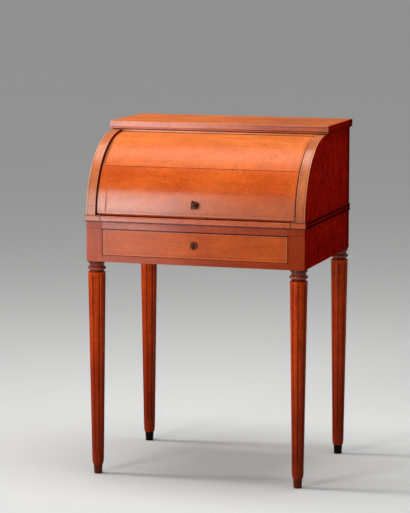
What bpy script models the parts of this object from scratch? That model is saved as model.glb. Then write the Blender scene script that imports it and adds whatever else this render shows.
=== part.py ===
"""A small cylinder-front writing desk on four fluted legs, built as separate pieces.

Metres, +Z up. The desk faces -Y and stands on Z = 0, with the middle of its box on the Z axis.
Angles on the cylinder are counted from the front, upwards and back.
"""

from math import asin, cos, pi, radians, sin

import bmesh
import bpy
from mathutils import Vector

# Clearances
GAP = 0.0003                # between pieces that are fixed together or rest on each other
RUN = 0.0008                # beside and above pieces that slide
PIN_CLEARANCE = 0.00015     # round a pin that turns

# Case
CASE_WIDTH = 0.640
CASE_DEPTH = 0.498
LEG_HEIGHT = 0.618
RAIL_HEIGHT = 0.0185
DRAWER_OPENING = 0.0765
WAIST_HEIGHT = 0.0185
ARC_RADIUS = 0.225
POST_WIDTH = 0.047
APRON_THICKNESS = 0.020
TENON_WEB = 0.0025          # wood left between a tenon and the leg's dowel
TENON_SHOULDER = 0.005
RUNNER_WIDTH = 0.050
SIDE_THICKNESS = 0.027
BACK_THICKNESS = 0.012

# Top board
TOP_THICKNESS = 0.025
TOP_OVERHANG = 0.007
TOP_REAR_OVERHANG = 0.003
TOP_LEAD = 0.003            # its front edge stands this far before the crown of the arc
TOP_BEAD = 0.0065           # moulded lower part of its edge
TOP_QUIRK = 0.0012          # depth and height of the sunk line above the bead

# Waist moulding
BAND_PROUD = 0.0020
BEAD_PROUD = 0.0042
BEAD_HEIGHT = 0.0030

# Legs
LEG_INSET = 0.0225          # axis of the leg from the two outer faces of its corner
LEG_TURN = {"front_left": -9.0, "front_right": 9.0, "rear_left": 0.0, "rear_right": 0.0}
COLLAR_HEIGHT = 0.0315
COLLAR_RADIUS = 0.0262
NECK_RADIUS = 0.0215
QUIRK_RADIUS = 0.0200
SHAFT_RADIUS = 0.0250
ANKLE_RADIUS = 0.0170
SHOULDER_HEIGHT = 0.018
TOE_HEIGHT = 0.027
TOE_RADIUS = 0.0135
TOE_FOOT_RADIUS = 0.0115
DOWEL_RADIUS = 0.010
DOWEL_LENGTH = 0.035
FLUTES = 8
FLUTE_DEPTH = 0.0024
FLUTE_TOP_RADIUS = 0.0034
FLUTE_FOOT_RADIUS = 0.0026
FLUTE_HEAD = 0.012          # plain shaft above the flutes
FLUTE_STOP = 0.022          # plain shaft below them
TURNED_STEPS = 32

# Cylinder
PANEL_RECESS = 0.0055       # behind the curved edges of the sides
PANEL_THICKNESS = 0.016
PANEL_END_GAP = 0.003
PANEL_LIFT = 0.0048         # its lower edge above the waist
PANEL_END = 94.0
STAVE_JOINT = 38.5
ARC_STEP = 3.0              # facets of the round pieces, in degrees
CHEEK_THICKNESS = 0.007
CHEEK_CLEARANCE = 0.004
CHEEK_MARGIN = 1.5
HUB_RADIUS = 0.010
PIN_RADIUS = 0.004
PIN_SEAT = 0.018
PIN_STEPS = 24

# Locks and key
KEY_RISE = 0.0325           # key above the lower edge of the cylinder, along its face
LOCK_WIDTH = 0.056
LOCK_DEPTH = 0.012
LOCK_COVER = 0.006          # wood left in front of a lock
LOCK_WALL = 0.0018          # behind the room in which the bit turns
LOCK_PLATE = 0.0022
BOLT_WIDTH = 0.020
BOLT_THICKNESS = 0.006
BOLT_THROW = 0.008
MORTISE_SPARE = 0.0015
KEY_PLAY = 0.0008           # round the shank in the keyhole
SHANK_RADIUS = 0.0024
BIT_LENGTH = 0.0085
BIT_THICKNESS = 0.0020
BIT_SPARE = 0.0010
KEY_REACH = 0.034
BOW_WIDTH = 0.021
BOW_HEIGHT = 0.026
BOW_RIM = 0.0042
BOW_THICKNESS = 0.0034
COLLAR_OF_KEY = 0.0040
PLATE_RIM = 0.0027          # keyhole plate beyond the keyhole
PLATE_THICKNESS = 0.0012

# Writing slide
SLIDE_RAIL_DEPTH = 0.040
SLIDE_REAR_ROOM = 0.056     # between the slide and the back panel
LEATHER_MARGIN = 0.055
LEATHER_DEPTH = 0.140
LEATHER_THICKNESS = 0.0009

# Long drawer
DRAWER_FRONT = 0.018
DRAWER_REAR_ROOM = 0.023    # between the drawer and the back apron
DRAWER_SIDE = 0.010
DRAWER_BACK = 0.008
DRAWER_BOTTOM = 0.006
DRAWER_BOTTOM_RISE = 0.008
DRAWER_GROOVE = 0.005
DRAWER_SIDE_DROP = 0.005    # the sides stop this far below the opening's top

# Fitted interior
CASIER_LEAD = 0.030         # its front stands this far before the pivot axis
CASIER_REACH = 0.135        # and its back this far behind it
CASIER_HEIGHT = 0.130
CASIER_BASE = 0.0075
CASIER_BOARD = 0.006
CASIER_END = 0.008
CASIER_NOSE = 0.004
BASE_WIDE_START = 0.060     # behind the pivot axis the base reaches the case sides
INNER_DRAWERS = ("left", "middle", "right")
INNER_HEIGHT = 0.049
INNER_WALL = 0.005
INNER_FRONT = 0.009
INNER_BOTTOM = 0.004
KNOB_RADIUS = 0.0065
KNOB_LENGTH = 0.013
KNOB_STEM = 0.0030

# Worked out from the sizes above
APRON_TOP = LEG_HEIGHT + 2 * RAIL_HEIGHT + DRAWER_OPENING
OPENING_BOTTOM = LEG_HEIGHT + RAIL_HEIGHT
OPENING_TOP = OPENING_BOTTOM + DRAWER_OPENING
WAIST_TOP = APRON_TOP + WAIST_HEIGHT
CROWN = WAIST_TOP + ARC_RADIUS
PANEL_RADIUS = ARC_RADIUS - PANEL_RECESS
PANEL_INSIDE = PANEL_RADIUS - PANEL_THICKNESS
PANEL_START = asin(PANEL_LIFT / PANEL_INSIDE) * 180 / pi
KEY_ANGLE = PANEL_START + KEY_RISE / PANEL_RADIUS * 180 / pi
KEY_TILT = radians(KEY_ANGLE)
KEY_PROUD = (KEY_REACH - BOW_WIDTH / 2 + PANEL_RADIUS) * cos(KEY_TILT) + BOW_WIDTH / 2 - ARC_RADIUS

HALF_WIDTH = CASE_WIDTH / 2
FRONT = -(CASE_DEPTH + TOP_REAR_OVERHANG - KEY_PROUD) / 2
REAR = FRONT + CASE_DEPTH
AXIS_Y = FRONT + ARC_RADIUS
AXIS_Z = WAIST_TOP
POST_INSIDE = HALF_WIDTH - POST_WIDTH
APRON_INSIDE = HALF_WIDTH - APRON_THICKNESS
SIDE_INSIDE = HALF_WIDTH - SIDE_THICKNESS
PANEL_HALF = SIDE_INSIDE - PANEL_END_GAP
CHEEK_INSIDE = PANEL_HALF - CHEEK_THICKNESS
GUIDE_INSIDE = CHEEK_INSIDE - CHEEK_CLEARANCE
SLIDE_HALF = GUIDE_INSIDE - RUN
CASIER_HALF = GUIDE_INSIDE - RUN
SLIDE_BOTTOM = APRON_TOP + GAP
SLIDE_TOP = WAIST_TOP - RUN
BOLT_FRONT = LOCK_COVER + LOCK_PLATE + GAP
BOLT_BACK = BOLT_FRONT + BOLT_THICKNESS
BOLT_TAIL = BIT_LENGTH + BIT_SPARE + GAP
LOCK_TAIL = BIT_LENGTH + BIT_SPARE + LOCK_WALL
KEYHOLE_RADIUS = SHANK_RADIUS + KEY_PLAY
PLATE_RADIUS = BIT_LENGTH + GAP + PLATE_RIM
TENON_LENGTH = POST_WIDTH - LEG_INSET - DOWEL_RADIUS - TENON_WEB
SLIDE_LENGTH = CASE_DEPTH - BACK_THICKNESS - SLIDE_REAR_ROOM
DRAWER_LENGTH = CASE_DEPTH - APRON_THICKNESS - DRAWER_REAR_ROOM

for stray in list(bpy.data.objects):
    bpy.data.objects.remove(stray)
PARTS = bpy.data.collections.new("cylinder_writing_desk")
CUTTERS = bpy.data.collections.new("cutters")
bpy.context.scene.collection.children.link(PARTS)
bpy.context.scene.collection.children.link(CUTTERS)


def finish(name, colour, roughness, metallic=0.0):
    material = bpy.data.materials.new(name)
    material.use_nodes = True
    shader = material.node_tree.nodes["Principled BSDF"]
    shader.inputs["Base Color"].default_value = (*colour, 1)
    shader.inputs["Roughness"].default_value = roughness
    shader.inputs["Metallic"].default_value = metallic
    return material


FRONT_VENEER = finish("front_veneer", (0.52, 0.15, 0.045), 0.35)
SIDE_VENEER = finish("side_veneer", (0.30, 0.05, 0.02), 0.38)
TURNED_WOOD = finish("turned_wood", (0.45, 0.12, 0.03), 0.40)
OAK = finish("oak", (0.36, 0.22, 0.11), 0.60)
INTERIOR_WOOD = finish("interior_wood", (0.45, 0.17, 0.06), 0.45)
IRON = finish("dark_iron", (0.05, 0.045, 0.04), 0.45, 1.0)
STEEL = finish("steel", (0.45, 0.45, 0.46), 0.35, 1.0)
BRASS = finish("brass", (0.60, 0.42, 0.16), 0.30, 1.0)
LEATHER = finish("leather", (0.06, 0.16, 0.08), 0.55)


# Making and placing pieces
def add(name, mesh, material, parent=None, location=(0, 0, 0), turn=(0, 0, 0)):
    piece = bpy.data.objects.new(name, mesh)
    PARTS.objects.link(piece)
    piece.parent = parent
    piece.location = location
    piece.rotation_euler = turn
    mesh.materials.append(material)
    return piece


def frame(name, location, parent=None, tilt=0.0):
    """An empty whose origin is a moving group's joint or a lock's key axis."""
    empty = bpy.data.objects.new(name, None)
    PARTS.objects.link(empty)
    empty.parent = parent
    empty.location = location
    empty.rotation_euler = (tilt, 0, 0)
    return empty


def mesh_from(name, bm):
    mesh = bpy.data.meshes.new(name)
    bm.to_mesh(mesh)
    bm.free()
    return mesh


def box_bmesh(low, high):
    """A cube stretched to the size between two corners, about its own middle."""
    bm = bmesh.new()
    bmesh.ops.create_cube(bm, size=1)
    bmesh.ops.scale(bm, vec=Vector(high) - Vector(low), verts=bm.verts)
    return bm


def middle(low, high):
    return (Vector(low) + Vector(high)) / 2


def box(name, low, high, material, parent=None):
    return add(name, mesh_from(name, box_bmesh(low, high)), material, parent, middle(low, high))


def tool(name, mesh, parent=None, location=(0, 0, 0), turn=(0, 0, 0)):
    """A hidden shape that other pieces are cut with or joined to."""
    shape = bpy.data.objects.new(name, mesh)
    CUTTERS.objects.link(shape)
    shape.parent = parent
    shape.location = location
    shape.rotation_euler = turn
    shape.hide_render = True
    shape.display_type = "WIRE"
    return shape


def combine(piece, shape, operation="DIFFERENCE"):
    modifier = piece.modifiers.new(shape.name, "BOOLEAN")
    modifier.operation = operation
    modifier.object = shape


def cut_box(piece, label, low, high, parent=None):
    name = f"{piece.name}_{label}"
    combine(piece, tool(name, mesh_from(name, box_bmesh(low, high)), parent, middle(low, high)))


def rod_mesh(name, radius, length, steps):
    """A straight rod about Z, from its middle."""
    bm = bmesh.new()
    bmesh.ops.create_cone(
        bm, cap_ends=True, segments=steps, radius1=radius, radius2=radius, depth=length
    )
    return mesh_from(name, bm)


def smooth(mesh):
    mesh.shade_smooth()
    mesh.set_sharp_from_angle(angle=radians(30))


ALONG_X = (pi / 2, 0, pi / 2)    # an outline in Y and Z, as thick as it is wide along X
ALONG_Y = (pi / 2, 0, 0)         # an outline in X and Z
ALONG_Z = (0, 0, 0)              # an outline in X and Y
UPRIGHT = (pi, -pi / 2, 0)       # an outline in Z and -Y


def outline_mesh(name, loops, thickness):
    """A flat outline, with its holes, filled and given a thickness about its own plane."""
    curve = bpy.data.curves.new(name, "CURVE")
    curve.dimensions = "2D"
    curve.fill_mode = "BOTH"
    curve.extrude = thickness / 2
    for loop in loops:
        spline = curve.splines.new("POLY")
        spline.points.add(len(loop) - 1)
        for point, (across, up) in zip(spline.points, loop):
            point.co = (across, up, 0, 1)
        spline.use_cyclic_u = True
    drawn = bpy.data.objects.new(name, curve)
    CUTTERS.objects.link(drawn)
    graph = bpy.context.evaluated_depsgraph_get()
    mesh = bpy.data.meshes.new_from_object(drawn.evaluated_get(graph))
    bpy.data.objects.remove(drawn)
    bm = bmesh.new()
    bm.from_mesh(mesh)
    bmesh.ops.remove_doubles(bm, verts=bm.verts, dist=0.00001)
    bm.to_mesh(mesh)
    bm.free()
    return mesh


def turned(name, profile, steps, material, parent=None, location=(0, 0, 0), turn=(0, 0, 0)):
    """A turned piece about its own Z axis; the profile runs down its outer side."""
    mesh = bpy.data.meshes.new(name)
    links = [(i, i + 1) for i in range(len(profile) - 1)]
    mesh.from_pydata([(radius, 0, height) for radius, height in profile], links, [])
    piece = add(name, mesh, material, parent, location, turn)
    screw = piece.modifiers.new("turning", "SCREW")
    screw.steps = steps
    screw.render_steps = steps
    screw.use_merge_vertices = True
    screw.merge_threshold = 0.00001
    screw.use_smooth_shade = True
    return piece


def lofted(name, rings, material):
    """A solid through rings of as many points each, closed at both ends."""
    bm = bmesh.new()
    loops = [[bm.verts.new(point) for point in ring] for ring in rings]
    for first, second in zip(loops, loops[1:]):
        for i in range(len(first)):
            bm.faces.new((first[i - 1], first[i], second[i], second[i - 1]))
    bm.faces.new(loops[0])
    bm.faces.new(loops[-1])
    bmesh.ops.recalc_face_normals(bm, faces=bm.faces)
    return add(name, mesh_from(name, bm), material)


def polar(radius, angle):
    """Y and Z from the pivot axis, at an angle counted up from the front."""
    return -radius * cos(radians(angle)), radius * sin(radians(angle))


def arc(radius, start, end):
    count = max(2, round(abs(end - start) / ARC_STEP))
    return [polar(radius, start + (end - start) * i / count) for i in range(count + 1)]


def circle(radius, steps):
    return [(radius * cos(2 * pi * i / steps), radius * sin(2 * pi * i / steps)) for i in range(steps)]


# Corner posts and legs
def leg_profile():
    top = LEG_HEIGHT
    ring_middle = top - COLLAR_HEIGHT * 0.66
    ring_half = COLLAR_HEIGHT * 0.155
    ring = [
        (NECK_RADIUS + (COLLAR_RADIUS - NECK_RADIUS) * cos(radians(a)), ring_middle + ring_half * sin(radians(a)))
        for a in (80, 45, 0, -45, -80)
    ]
    ankle = TOE_HEIGHT + SHOULDER_HEIGHT
    shoulder = [
        (
            TOE_RADIUS + (ANKLE_RADIUS - TOE_RADIUS) * cos(radians(a)),
            ankle - SHOULDER_HEIGHT * sin(radians(a)),
        )
        for a in (0, 35, 65, 90)
    ]
    return [
        (0, top + DOWEL_LENGTH),
        (DOWEL_RADIUS, top + DOWEL_LENGTH),
        (DOWEL_RADIUS, top - GAP),
        (SHAFT_RADIUS, top - GAP),
        (SHAFT_RADIUS, top - COLLAR_HEIGHT * 0.10),
        (QUIRK_RADIUS, top - COLLAR_HEIGHT * 0.18),
        (NECK_RADIUS, top - COLLAR_HEIGHT * 0.28),
        *ring,
        (QUIRK_RADIUS, top - COLLAR_HEIGHT * 0.86),
        (QUIRK_RADIUS, top - COLLAR_HEIGHT * 0.95),
        (SHAFT_RADIUS, top - COLLAR_HEIGHT),
        *shoulder,
        (TOE_FOOT_RADIUS, 0),
        (0, 0),
    ]


def flute_rods(name):
    """Tapered rods laid along the shaft, one for each flute, with pointed ends."""
    shaft_top = LEG_HEIGHT - COLLAR_HEIGHT
    ankle = TOE_HEIGHT + SHOULDER_HEIGHT
    taper = (SHAFT_RADIUS - ANKLE_RADIUS) / (shaft_top - ankle)
    head = shaft_top - FLUTE_HEAD
    foot = ankle + FLUTE_STOP
    head_radius = SHAFT_RADIUS - taper * (shaft_top - head) + FLUTE_TOP_RADIUS - FLUTE_DEPTH
    foot_radius = SHAFT_RADIUS - taper * (shaft_top - foot) + FLUTE_FOOT_RADIUS - FLUTE_DEPTH
    bm = bmesh.new()
    for i in range(FLUTES):
        made = bmesh.ops.create_cone(
            bm, cap_ends=True, segments=8, radius1=FLUTE_FOOT_RADIUS, radius2=FLUTE_TOP_RADIUS, depth=head - foot
        )["verts"]
        caps = {face for vert in made for face in vert.link_faces if len(face.verts) > 4}
        tips = bmesh.ops.poke(bm, faces=list(caps))["verts"]
        for tip in tips:
            tip.co.z += FLUTE_TOP_RADIUS if tip.co.z > 0 else -FLUTE_FOOT_RADIUS
        rod = made + tips
        for vert in rod:
            share = (vert.co.z + (head - foot) / 2) / (head - foot)
            vert.co.y -= foot_radius + (head_radius - foot_radius) * share
            vert.co.z += (head + foot) / 2
        turn = 2 * pi * i / FLUTES
        for vert in rod:
            x, y = vert.co.x, vert.co.y
            vert.co.x = x * cos(turn) - y * sin(turn)
            vert.co.y = x * sin(turn) + y * cos(turn)
    return mesh_from(name, bm)


posts = {}
for corner, turn in LEG_TURN.items():
    right = 1 if corner.endswith("right") else -1
    back = corner.startswith("rear")
    x = sorted((right * POST_INSIDE, right * HALF_WIDTH))
    y = (REAR - POST_WIDTH, REAR) if back else (FRONT, FRONT + POST_WIDTH)
    post = box(f"post_{corner}", (x[0], y[0], LEG_HEIGHT), (x[1], y[1], APRON_TOP), FRONT_VENEER)
    posts[corner] = post

    foot = (right * (HALF_WIDTH - LEG_INSET), REAR - LEG_INSET if back else FRONT + LEG_INSET, 0)
    leg = turned(f"leg_{corner}", leg_profile(), TURNED_STEPS, TURNED_WOOD, None, foot, (0, 0, radians(turn)))
    flutes = flute_rods(f"flutes_{corner}")
    combine(leg, tool(f"flutes_{corner}", flutes, None, foot, (0, 0, radians(turn))))

    socket = rod_mesh(f"socket_{corner}", DOWEL_RADIUS + GAP, 2 * (DOWEL_LENGTH + GAP), TURNED_STEPS)
    at = (foot[0], foot[1], LEG_HEIGHT)
    combine(post, tool(f"socket_{corner}", socket, None, at, (0, 0, radians(turn))))


# Rails and aprons, tenoned into the posts
def tenoned(name, low, high, axis, ends, material):
    """A board between two posts, with a shouldered tenon at both ends and a mortise for each."""
    bm = box_bmesh(low, high)
    for end in [face for face in bm.faces if abs(face.normal[axis]) > 0.9]:
        way = end.normal.copy()
        bmesh.ops.inset_individual(bm, faces=[end], thickness=TENON_SHOULDER, use_even_offset=True)
        made = bmesh.ops.extrude_discrete_faces(bm, faces=[end])["faces"]
        bmesh.ops.translate(bm, vec=way * TENON_LENGTH, verts=made[0].verts)
    board = add(name, mesh_from(name, bm), material, None, middle(low, high))
    for post, side in zip(ends, (-1, 1)):
        hole_low = [corner + TENON_SHOULDER - GAP for corner in low]
        hole_high = [corner - TENON_SHOULDER + GAP for corner in high]
        mouth = high[axis] if side > 0 else low[axis]
        reach = mouth + side * (TENON_LENGTH + GAP)
        hole_low[axis], hole_high[axis] = sorted((mouth - side * GAP * 2, reach))
        cut_box(post, name, hole_low, hole_high)
    return board


front_ends = (posts["front_left"], posts["front_right"])
rail_x = POST_INSIDE - GAP
tenoned(
    "front_rail_lower",
    (-rail_x, FRONT, LEG_HEIGHT),
    (rail_x, FRONT + POST_WIDTH, OPENING_BOTTOM),
    0, front_ends, FRONT_VENEER,
)
upper_rail = tenoned(
    "front_rail_upper",
    (-rail_x, FRONT, OPENING_TOP),
    (rail_x, FRONT + POST_WIDTH, APRON_TOP),
    0, front_ends, FRONT_VENEER,
)
tenoned(
    "back_apron",
    (-rail_x, REAR - APRON_THICKNESS, LEG_HEIGHT),
    (rail_x, REAR, APRON_TOP),
    0, (posts["rear_left"], posts["rear_right"]), SIDE_VENEER,
)
between_y = (FRONT + POST_WIDTH + GAP, REAR - POST_WIDTH - GAP)
for hand, right in (("left", -1), ("right", 1)):
    x = sorted((right * APRON_INSIDE, right * HALF_WIDTH))
    tenoned(
        f"side_apron_{hand}",
        (x[0], between_y[0], LEG_HEIGHT),
        (x[1], between_y[1], APRON_TOP),
        1, (posts[f"front_{hand}"], posts[f"rear_{hand}"]), SIDE_VENEER,
    )


# Runners under and beside the drawer, kickers above it, guides beside the writing slide
for hand, right in (("left", -1), ("right", 1)):
    wall = APRON_INSIDE - GAP
    inner = APRON_INSIDE - RUNNER_WIDTH
    profile = [
        (inner, LEG_HEIGHT),
        (wall, LEG_HEIGHT),
        (wall, OPENING_TOP - GAP),
        (POST_INSIDE, OPENING_TOP - GAP),
        (POST_INSIDE, OPENING_BOTTOM),
        (inner, OPENING_BOTTOM),
    ]
    name = f"drawer_runner_{hand}"
    mesh = outline_mesh(name, [[(right * x, z) for x, z in profile]], between_y[1] - between_y[0])
    add(name, mesh, OAK, None, (0, sum(between_y) / 2, 0), ALONG_Y)
    x = sorted((right * inner, right * wall))
    box(f"kicker_{hand}", (x[0], between_y[0], OPENING_TOP), (x[1], between_y[1], APRON_TOP), OAK)

    x = sorted((right * GUIDE_INSIDE, right * (SIDE_INSIDE - GAP)))
    guide = box(
        f"slide_guide_{hand}",
        (x[0], FRONT, APRON_TOP + GAP),
        (x[1], REAR - BACK_THICKNESS - GAP, WAIST_TOP),
        OAK,
    )
    cut_box(
        guide, "hub_room",
        (x[0] - GAP, AXIS_Y - HUB_RADIUS - RUN, AXIS_Z - HUB_RADIUS - RUN),
        (x[1] + GAP, AXIS_Y + HUB_RADIUS + RUN, AXIS_Z + HUB_RADIUS),
    )


# Upper case: quarter-round sides, back, top board, waist moulding
def side_outline():
    curve = [(AXIS_Y + y, AXIS_Z + z) for y, z in arc(ARC_RADIUS, 0, 90)]
    foot = APRON_TOP + GAP
    curve[-1] = (curve[-1][0], CROWN - GAP)
    return [(FRONT, foot), *curve, (REAR, CROWN - GAP), (REAR, foot)]


for hand, right in (("left", -1), ("right", 1)):
    name = f"upper_side_{hand}"
    mesh = outline_mesh(name, [side_outline()], SIDE_THICKNESS)
    side = add(name, mesh, SIDE_VENEER, None, (right * (HALF_WIDTH - SIDE_THICKNESS / 2), 0, 0), ALONG_X)
    seat = rod_mesh(f"pin_seat_{hand}", PIN_RADIUS + GAP, 2 * (PIN_SEAT + GAP), PIN_STEPS)
    combine(side, tool(f"pin_seat_{hand}", seat, None, (right * SIDE_INSIDE, AXIS_Y, AXIS_Z), (0, pi / 2, 0)))

box(
    "back_panel",
    (-SIDE_INSIDE + GAP, REAR - BACK_THICKNESS, APRON_TOP + GAP),
    (SIDE_INSIDE - GAP, REAR, CROWN - GAP),
    OAK,
)

quirk_top = TOP_BEAD + 2 * TOP_QUIRK
top_edge = [
    (0, TOP_QUIRK),
    (TOP_QUIRK, 0),
    (TOP_BEAD, 0),
    (TOP_BEAD + TOP_QUIRK * 0.3, TOP_QUIRK),
    (quirk_top - TOP_QUIRK * 0.3, TOP_QUIRK),
    (quirk_top, 0),
    (TOP_THICKNESS - TOP_QUIRK, 0),
    (TOP_THICKNESS, TOP_QUIRK),
]
top_rings = []
for rise, inset in top_edge:
    x = HALF_WIDTH + TOP_OVERHANG - inset
    y0 = AXIS_Y - TOP_LEAD + inset
    y1 = REAR + TOP_REAR_OVERHANG - (inset if 0 < rise < TOP_THICKNESS else 0)
    z = CROWN + rise
    top_rings.append([(-x, y0, z), (x, y0, z), (x, y1, z), (-x, y1, z)])
lofted("top_board", top_rings, FRONT_VENEER)


def waist_profile():
    """Distance out from the case, and height, round the section of the moulding."""
    low = APRON_TOP + GAP
    high = WAIST_TOP
    return [
        (GAP, low),
        (BEAD_PROUD, low),
        (BEAD_PROUD, low + BEAD_HEIGHT),
        (BAND_PROUD, low + BEAD_HEIGHT),
        (BAND_PROUD, high - BEAD_HEIGHT),
        (BEAD_PROUD, high - BEAD_HEIGHT),
        (BEAD_PROUD, high),
        (GAP, high),
    ]


for hand, right in (("left", -1), ("right", 1)):
    rear_end = [(right * (HALF_WIDTH + out), REAR, z) for out, z in waist_profile()]
    mitre = [(right * (HALF_WIDTH + out), FRONT - out, z) for out, z in waist_profile()]
    front_end = [(right * GUIDE_INSIDE, FRONT - out, z) for out, z in waist_profile()]
    lofted(f"waist_moulding_{hand}", [rear_end, mitre, front_end], FRONT_VENEER)


# Cylinder: two staves on two cheeks, which turn on pins in the case sides
cylinder = frame("cylinder_pivot", (0, AXIS_Y, AXIS_Z))
joint_gap = GAP / PANEL_INSIDE * 180 / pi / 2
staves = {}
for name, start, end in (
    ("cylinder_stave_lower", PANEL_START, STAVE_JOINT - joint_gap),
    ("cylinder_stave_upper", STAVE_JOINT + joint_gap, PANEL_END),
):
    loop = arc(PANEL_RADIUS, start, end) + arc(PANEL_INSIDE, end, start)
    mesh = outline_mesh(name, [loop], 2 * PANEL_HALF)
    smooth(mesh)
    staves[name] = add(name, mesh, FRONT_VENEER, cylinder, (0, 0, 0), ALONG_X)

for hand, right in (("left", -1), ("right", 1)):
    start = PANEL_START + CHEEK_MARGIN
    end = PANEL_END - CHEEK_MARGIN
    loop = arc(PANEL_INSIDE - GAP, start, end) + arc(HUB_RADIUS, end, start + 360)
    bore = circle(PIN_RADIUS + PIN_CLEARANCE, PIN_STEPS)
    name = f"cylinder_cheek_{hand}"
    mesh = outline_mesh(name, [loop, bore], CHEEK_THICKNESS)
    add(name, mesh, OAK, cylinder, (right * (PANEL_HALF - CHEEK_THICKNESS / 2), 0, 0), ALONG_X)

    pin_ends = (CHEEK_INSIDE, SIDE_INSIDE + PIN_SEAT)
    mesh = rod_mesh(f"pivot_pin_{hand}", PIN_RADIUS, pin_ends[1] - pin_ends[0], PIN_STEPS)
    smooth(mesh)
    add(f"pivot_pin_{hand}", mesh, STEEL, None, (right * sum(pin_ends) / 2, AXIS_Y, AXIS_Z), (0, pi / 2, 0))


# Locks: a case let into the back of a front, a bolt in it, a keyhole plate before it
def keyhole_outline():
    half = BIT_THICKNESS / 2 + GAP
    mouth = asin(half / KEYHOLE_RADIUS)
    turn = 2 * pi - 2 * mouth
    steps = 12
    round_part = [-pi / 2 + mouth + turn * i / steps for i in range(steps + 1)]
    head = [(KEYHOLE_RADIUS * cos(a), KEYHOLE_RADIUS * sin(a)) for a in round_part]
    return head + [(-half, -BIT_LENGTH - GAP), (half, -BIT_LENGTH - GAP)]


def lock(prefix, lock_frame, front, shoots, reach, plate_finish):
    """The frame's origin is where the key's axis leaves the face, and its -Y points out of it.
    The bolt shoots along +Z or -Z; reach is how far the lock runs from the key to the edge."""
    def span(near, far):
        return sorted((shoots * near, shoots * far))

    back = LOCK_COVER + LOCK_DEPTH
    z = span(-LOCK_TAIL, reach)
    half = LOCK_WIDTH / 2
    case = box(f"{prefix}_lock_case", (-half, LOCK_COVER, z[0]), (half, back, z[1]), IRON, lock_frame)
    room = span(-LOCK_TAIL - GAP, reach + LOCK_TAIL)
    cut_box(
        front, "lock_recess",
        (-half - GAP, LOCK_COVER - GAP, room[0]), (half + GAP, back + LOCK_DEPTH, room[1]), lock_frame,
    )

    z = span(BOLT_TAIL, reach)
    half = BOLT_WIDTH / 2
    box(f"{prefix}_bolt", (-half, BOLT_FRONT, z[0]), (half, BOLT_BACK, z[1]), IRON, lock_frame)
    z = span(0, reach + LOCK_TAIL)
    cut_box(
        case, "bolt_way",
        (-half - GAP, BOLT_FRONT - GAP, z[0]), (half + GAP, BOLT_BACK + GAP, z[1]), lock_frame,
    )
    name = f"{prefix}_ward_room"
    mesh = rod_mesh(name, BIT_LENGTH + BIT_SPARE, BOLT_THICKNESS + 2 * GAP, PIN_STEPS)
    combine(case, tool(name, mesh, lock_frame, (0, (BOLT_FRONT + BOLT_BACK) / 2, 0), ALONG_Y))

    plate_y = -GAP - PLATE_THICKNESS / 2
    name = f"{prefix}_escutcheon"
    mesh = rod_mesh(name, PLATE_RADIUS, PLATE_THICKNESS, PIN_STEPS)
    plate = add(name, mesh, plate_finish, lock_frame, (0, plate_y, 0), ALONG_Y)
    depth = BOLT_FRONT + 2 * PLATE_THICKNESS + GAP
    name = f"{prefix}_keyhole"
    hole = tool(
        name, outline_mesh(name, [keyhole_outline()], depth), lock_frame, (0, BOLT_FRONT - depth / 2, 0), ALONG_Y
    )
    for pierced in (front, case, plate):
        combine(pierced, hole)


face_y, face_z = polar(PANEL_RADIUS, KEY_ANGLE)
cylinder_lock = frame("cylinder_lock_frame", (0, face_y, face_z), cylinder, -KEY_TILT)
edge_angle = radians(KEY_ANGLE - PANEL_START)
lock("cylinder", cylinder_lock, staves["cylinder_stave_lower"], -1, PANEL_INSIDE * sin(edge_angle) - GAP, BRASS)

# Key, with its own Z axis out of the lock
bit_back = BOLT_BACK - GAP
bit_front = BOLT_FRONT + GAP
bow_middle = KEY_REACH - BOW_WIDTH / 2
shank_top = bow_middle - BOW_WIDTH / 2 + BOW_RIM / 2
collar_foot = PLATE_THICKNESS + 4 * GAP
shank = [
    (0, shank_top),
    (SHANK_RADIUS, shank_top),
    (SHANK_RADIUS, collar_foot + 2 * COLLAR_OF_KEY),
    (COLLAR_OF_KEY, collar_foot + 1.5 * COLLAR_OF_KEY),
    (COLLAR_OF_KEY, collar_foot + COLLAR_OF_KEY),
    (SHANK_RADIUS, collar_foot + 0.5 * COLLAR_OF_KEY),
    (SHANK_RADIUS, -bit_back),
    (0, -bit_back),
]
key = turned("cylinder_key", shank, 12, IRON, cylinder_lock, (0, 0, 0), ALONG_Y)
bow_outer = [(BOW_HEIGHT / 2 * u, bow_middle + BOW_WIDTH / 2 * v) for u, v in circle(1, 20)]
bow_inner = [
    ((BOW_HEIGHT / 2 - BOW_RIM) * u, bow_middle + (BOW_WIDTH / 2 - BOW_RIM) * v) for u, v in circle(1, 20)
]
bow = outline_mesh("key_bow", [bow_outer, bow_inner], BOW_THICKNESS)
combine(key, tool("key_bow", bow, cylinder_lock, (0, 0, 0), UPRIGHT), "UNION")
bit = box_bmesh((0, 0, 0), (BIT_THICKNESS, bit_back - bit_front, BIT_LENGTH))
combine(
    key,
    tool("key_bit", mesh_from("key_bit", bit), cylinder_lock, (0, (bit_front + bit_back) / 2, -BIT_LENGTH / 2)),
    "UNION",
)


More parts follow.
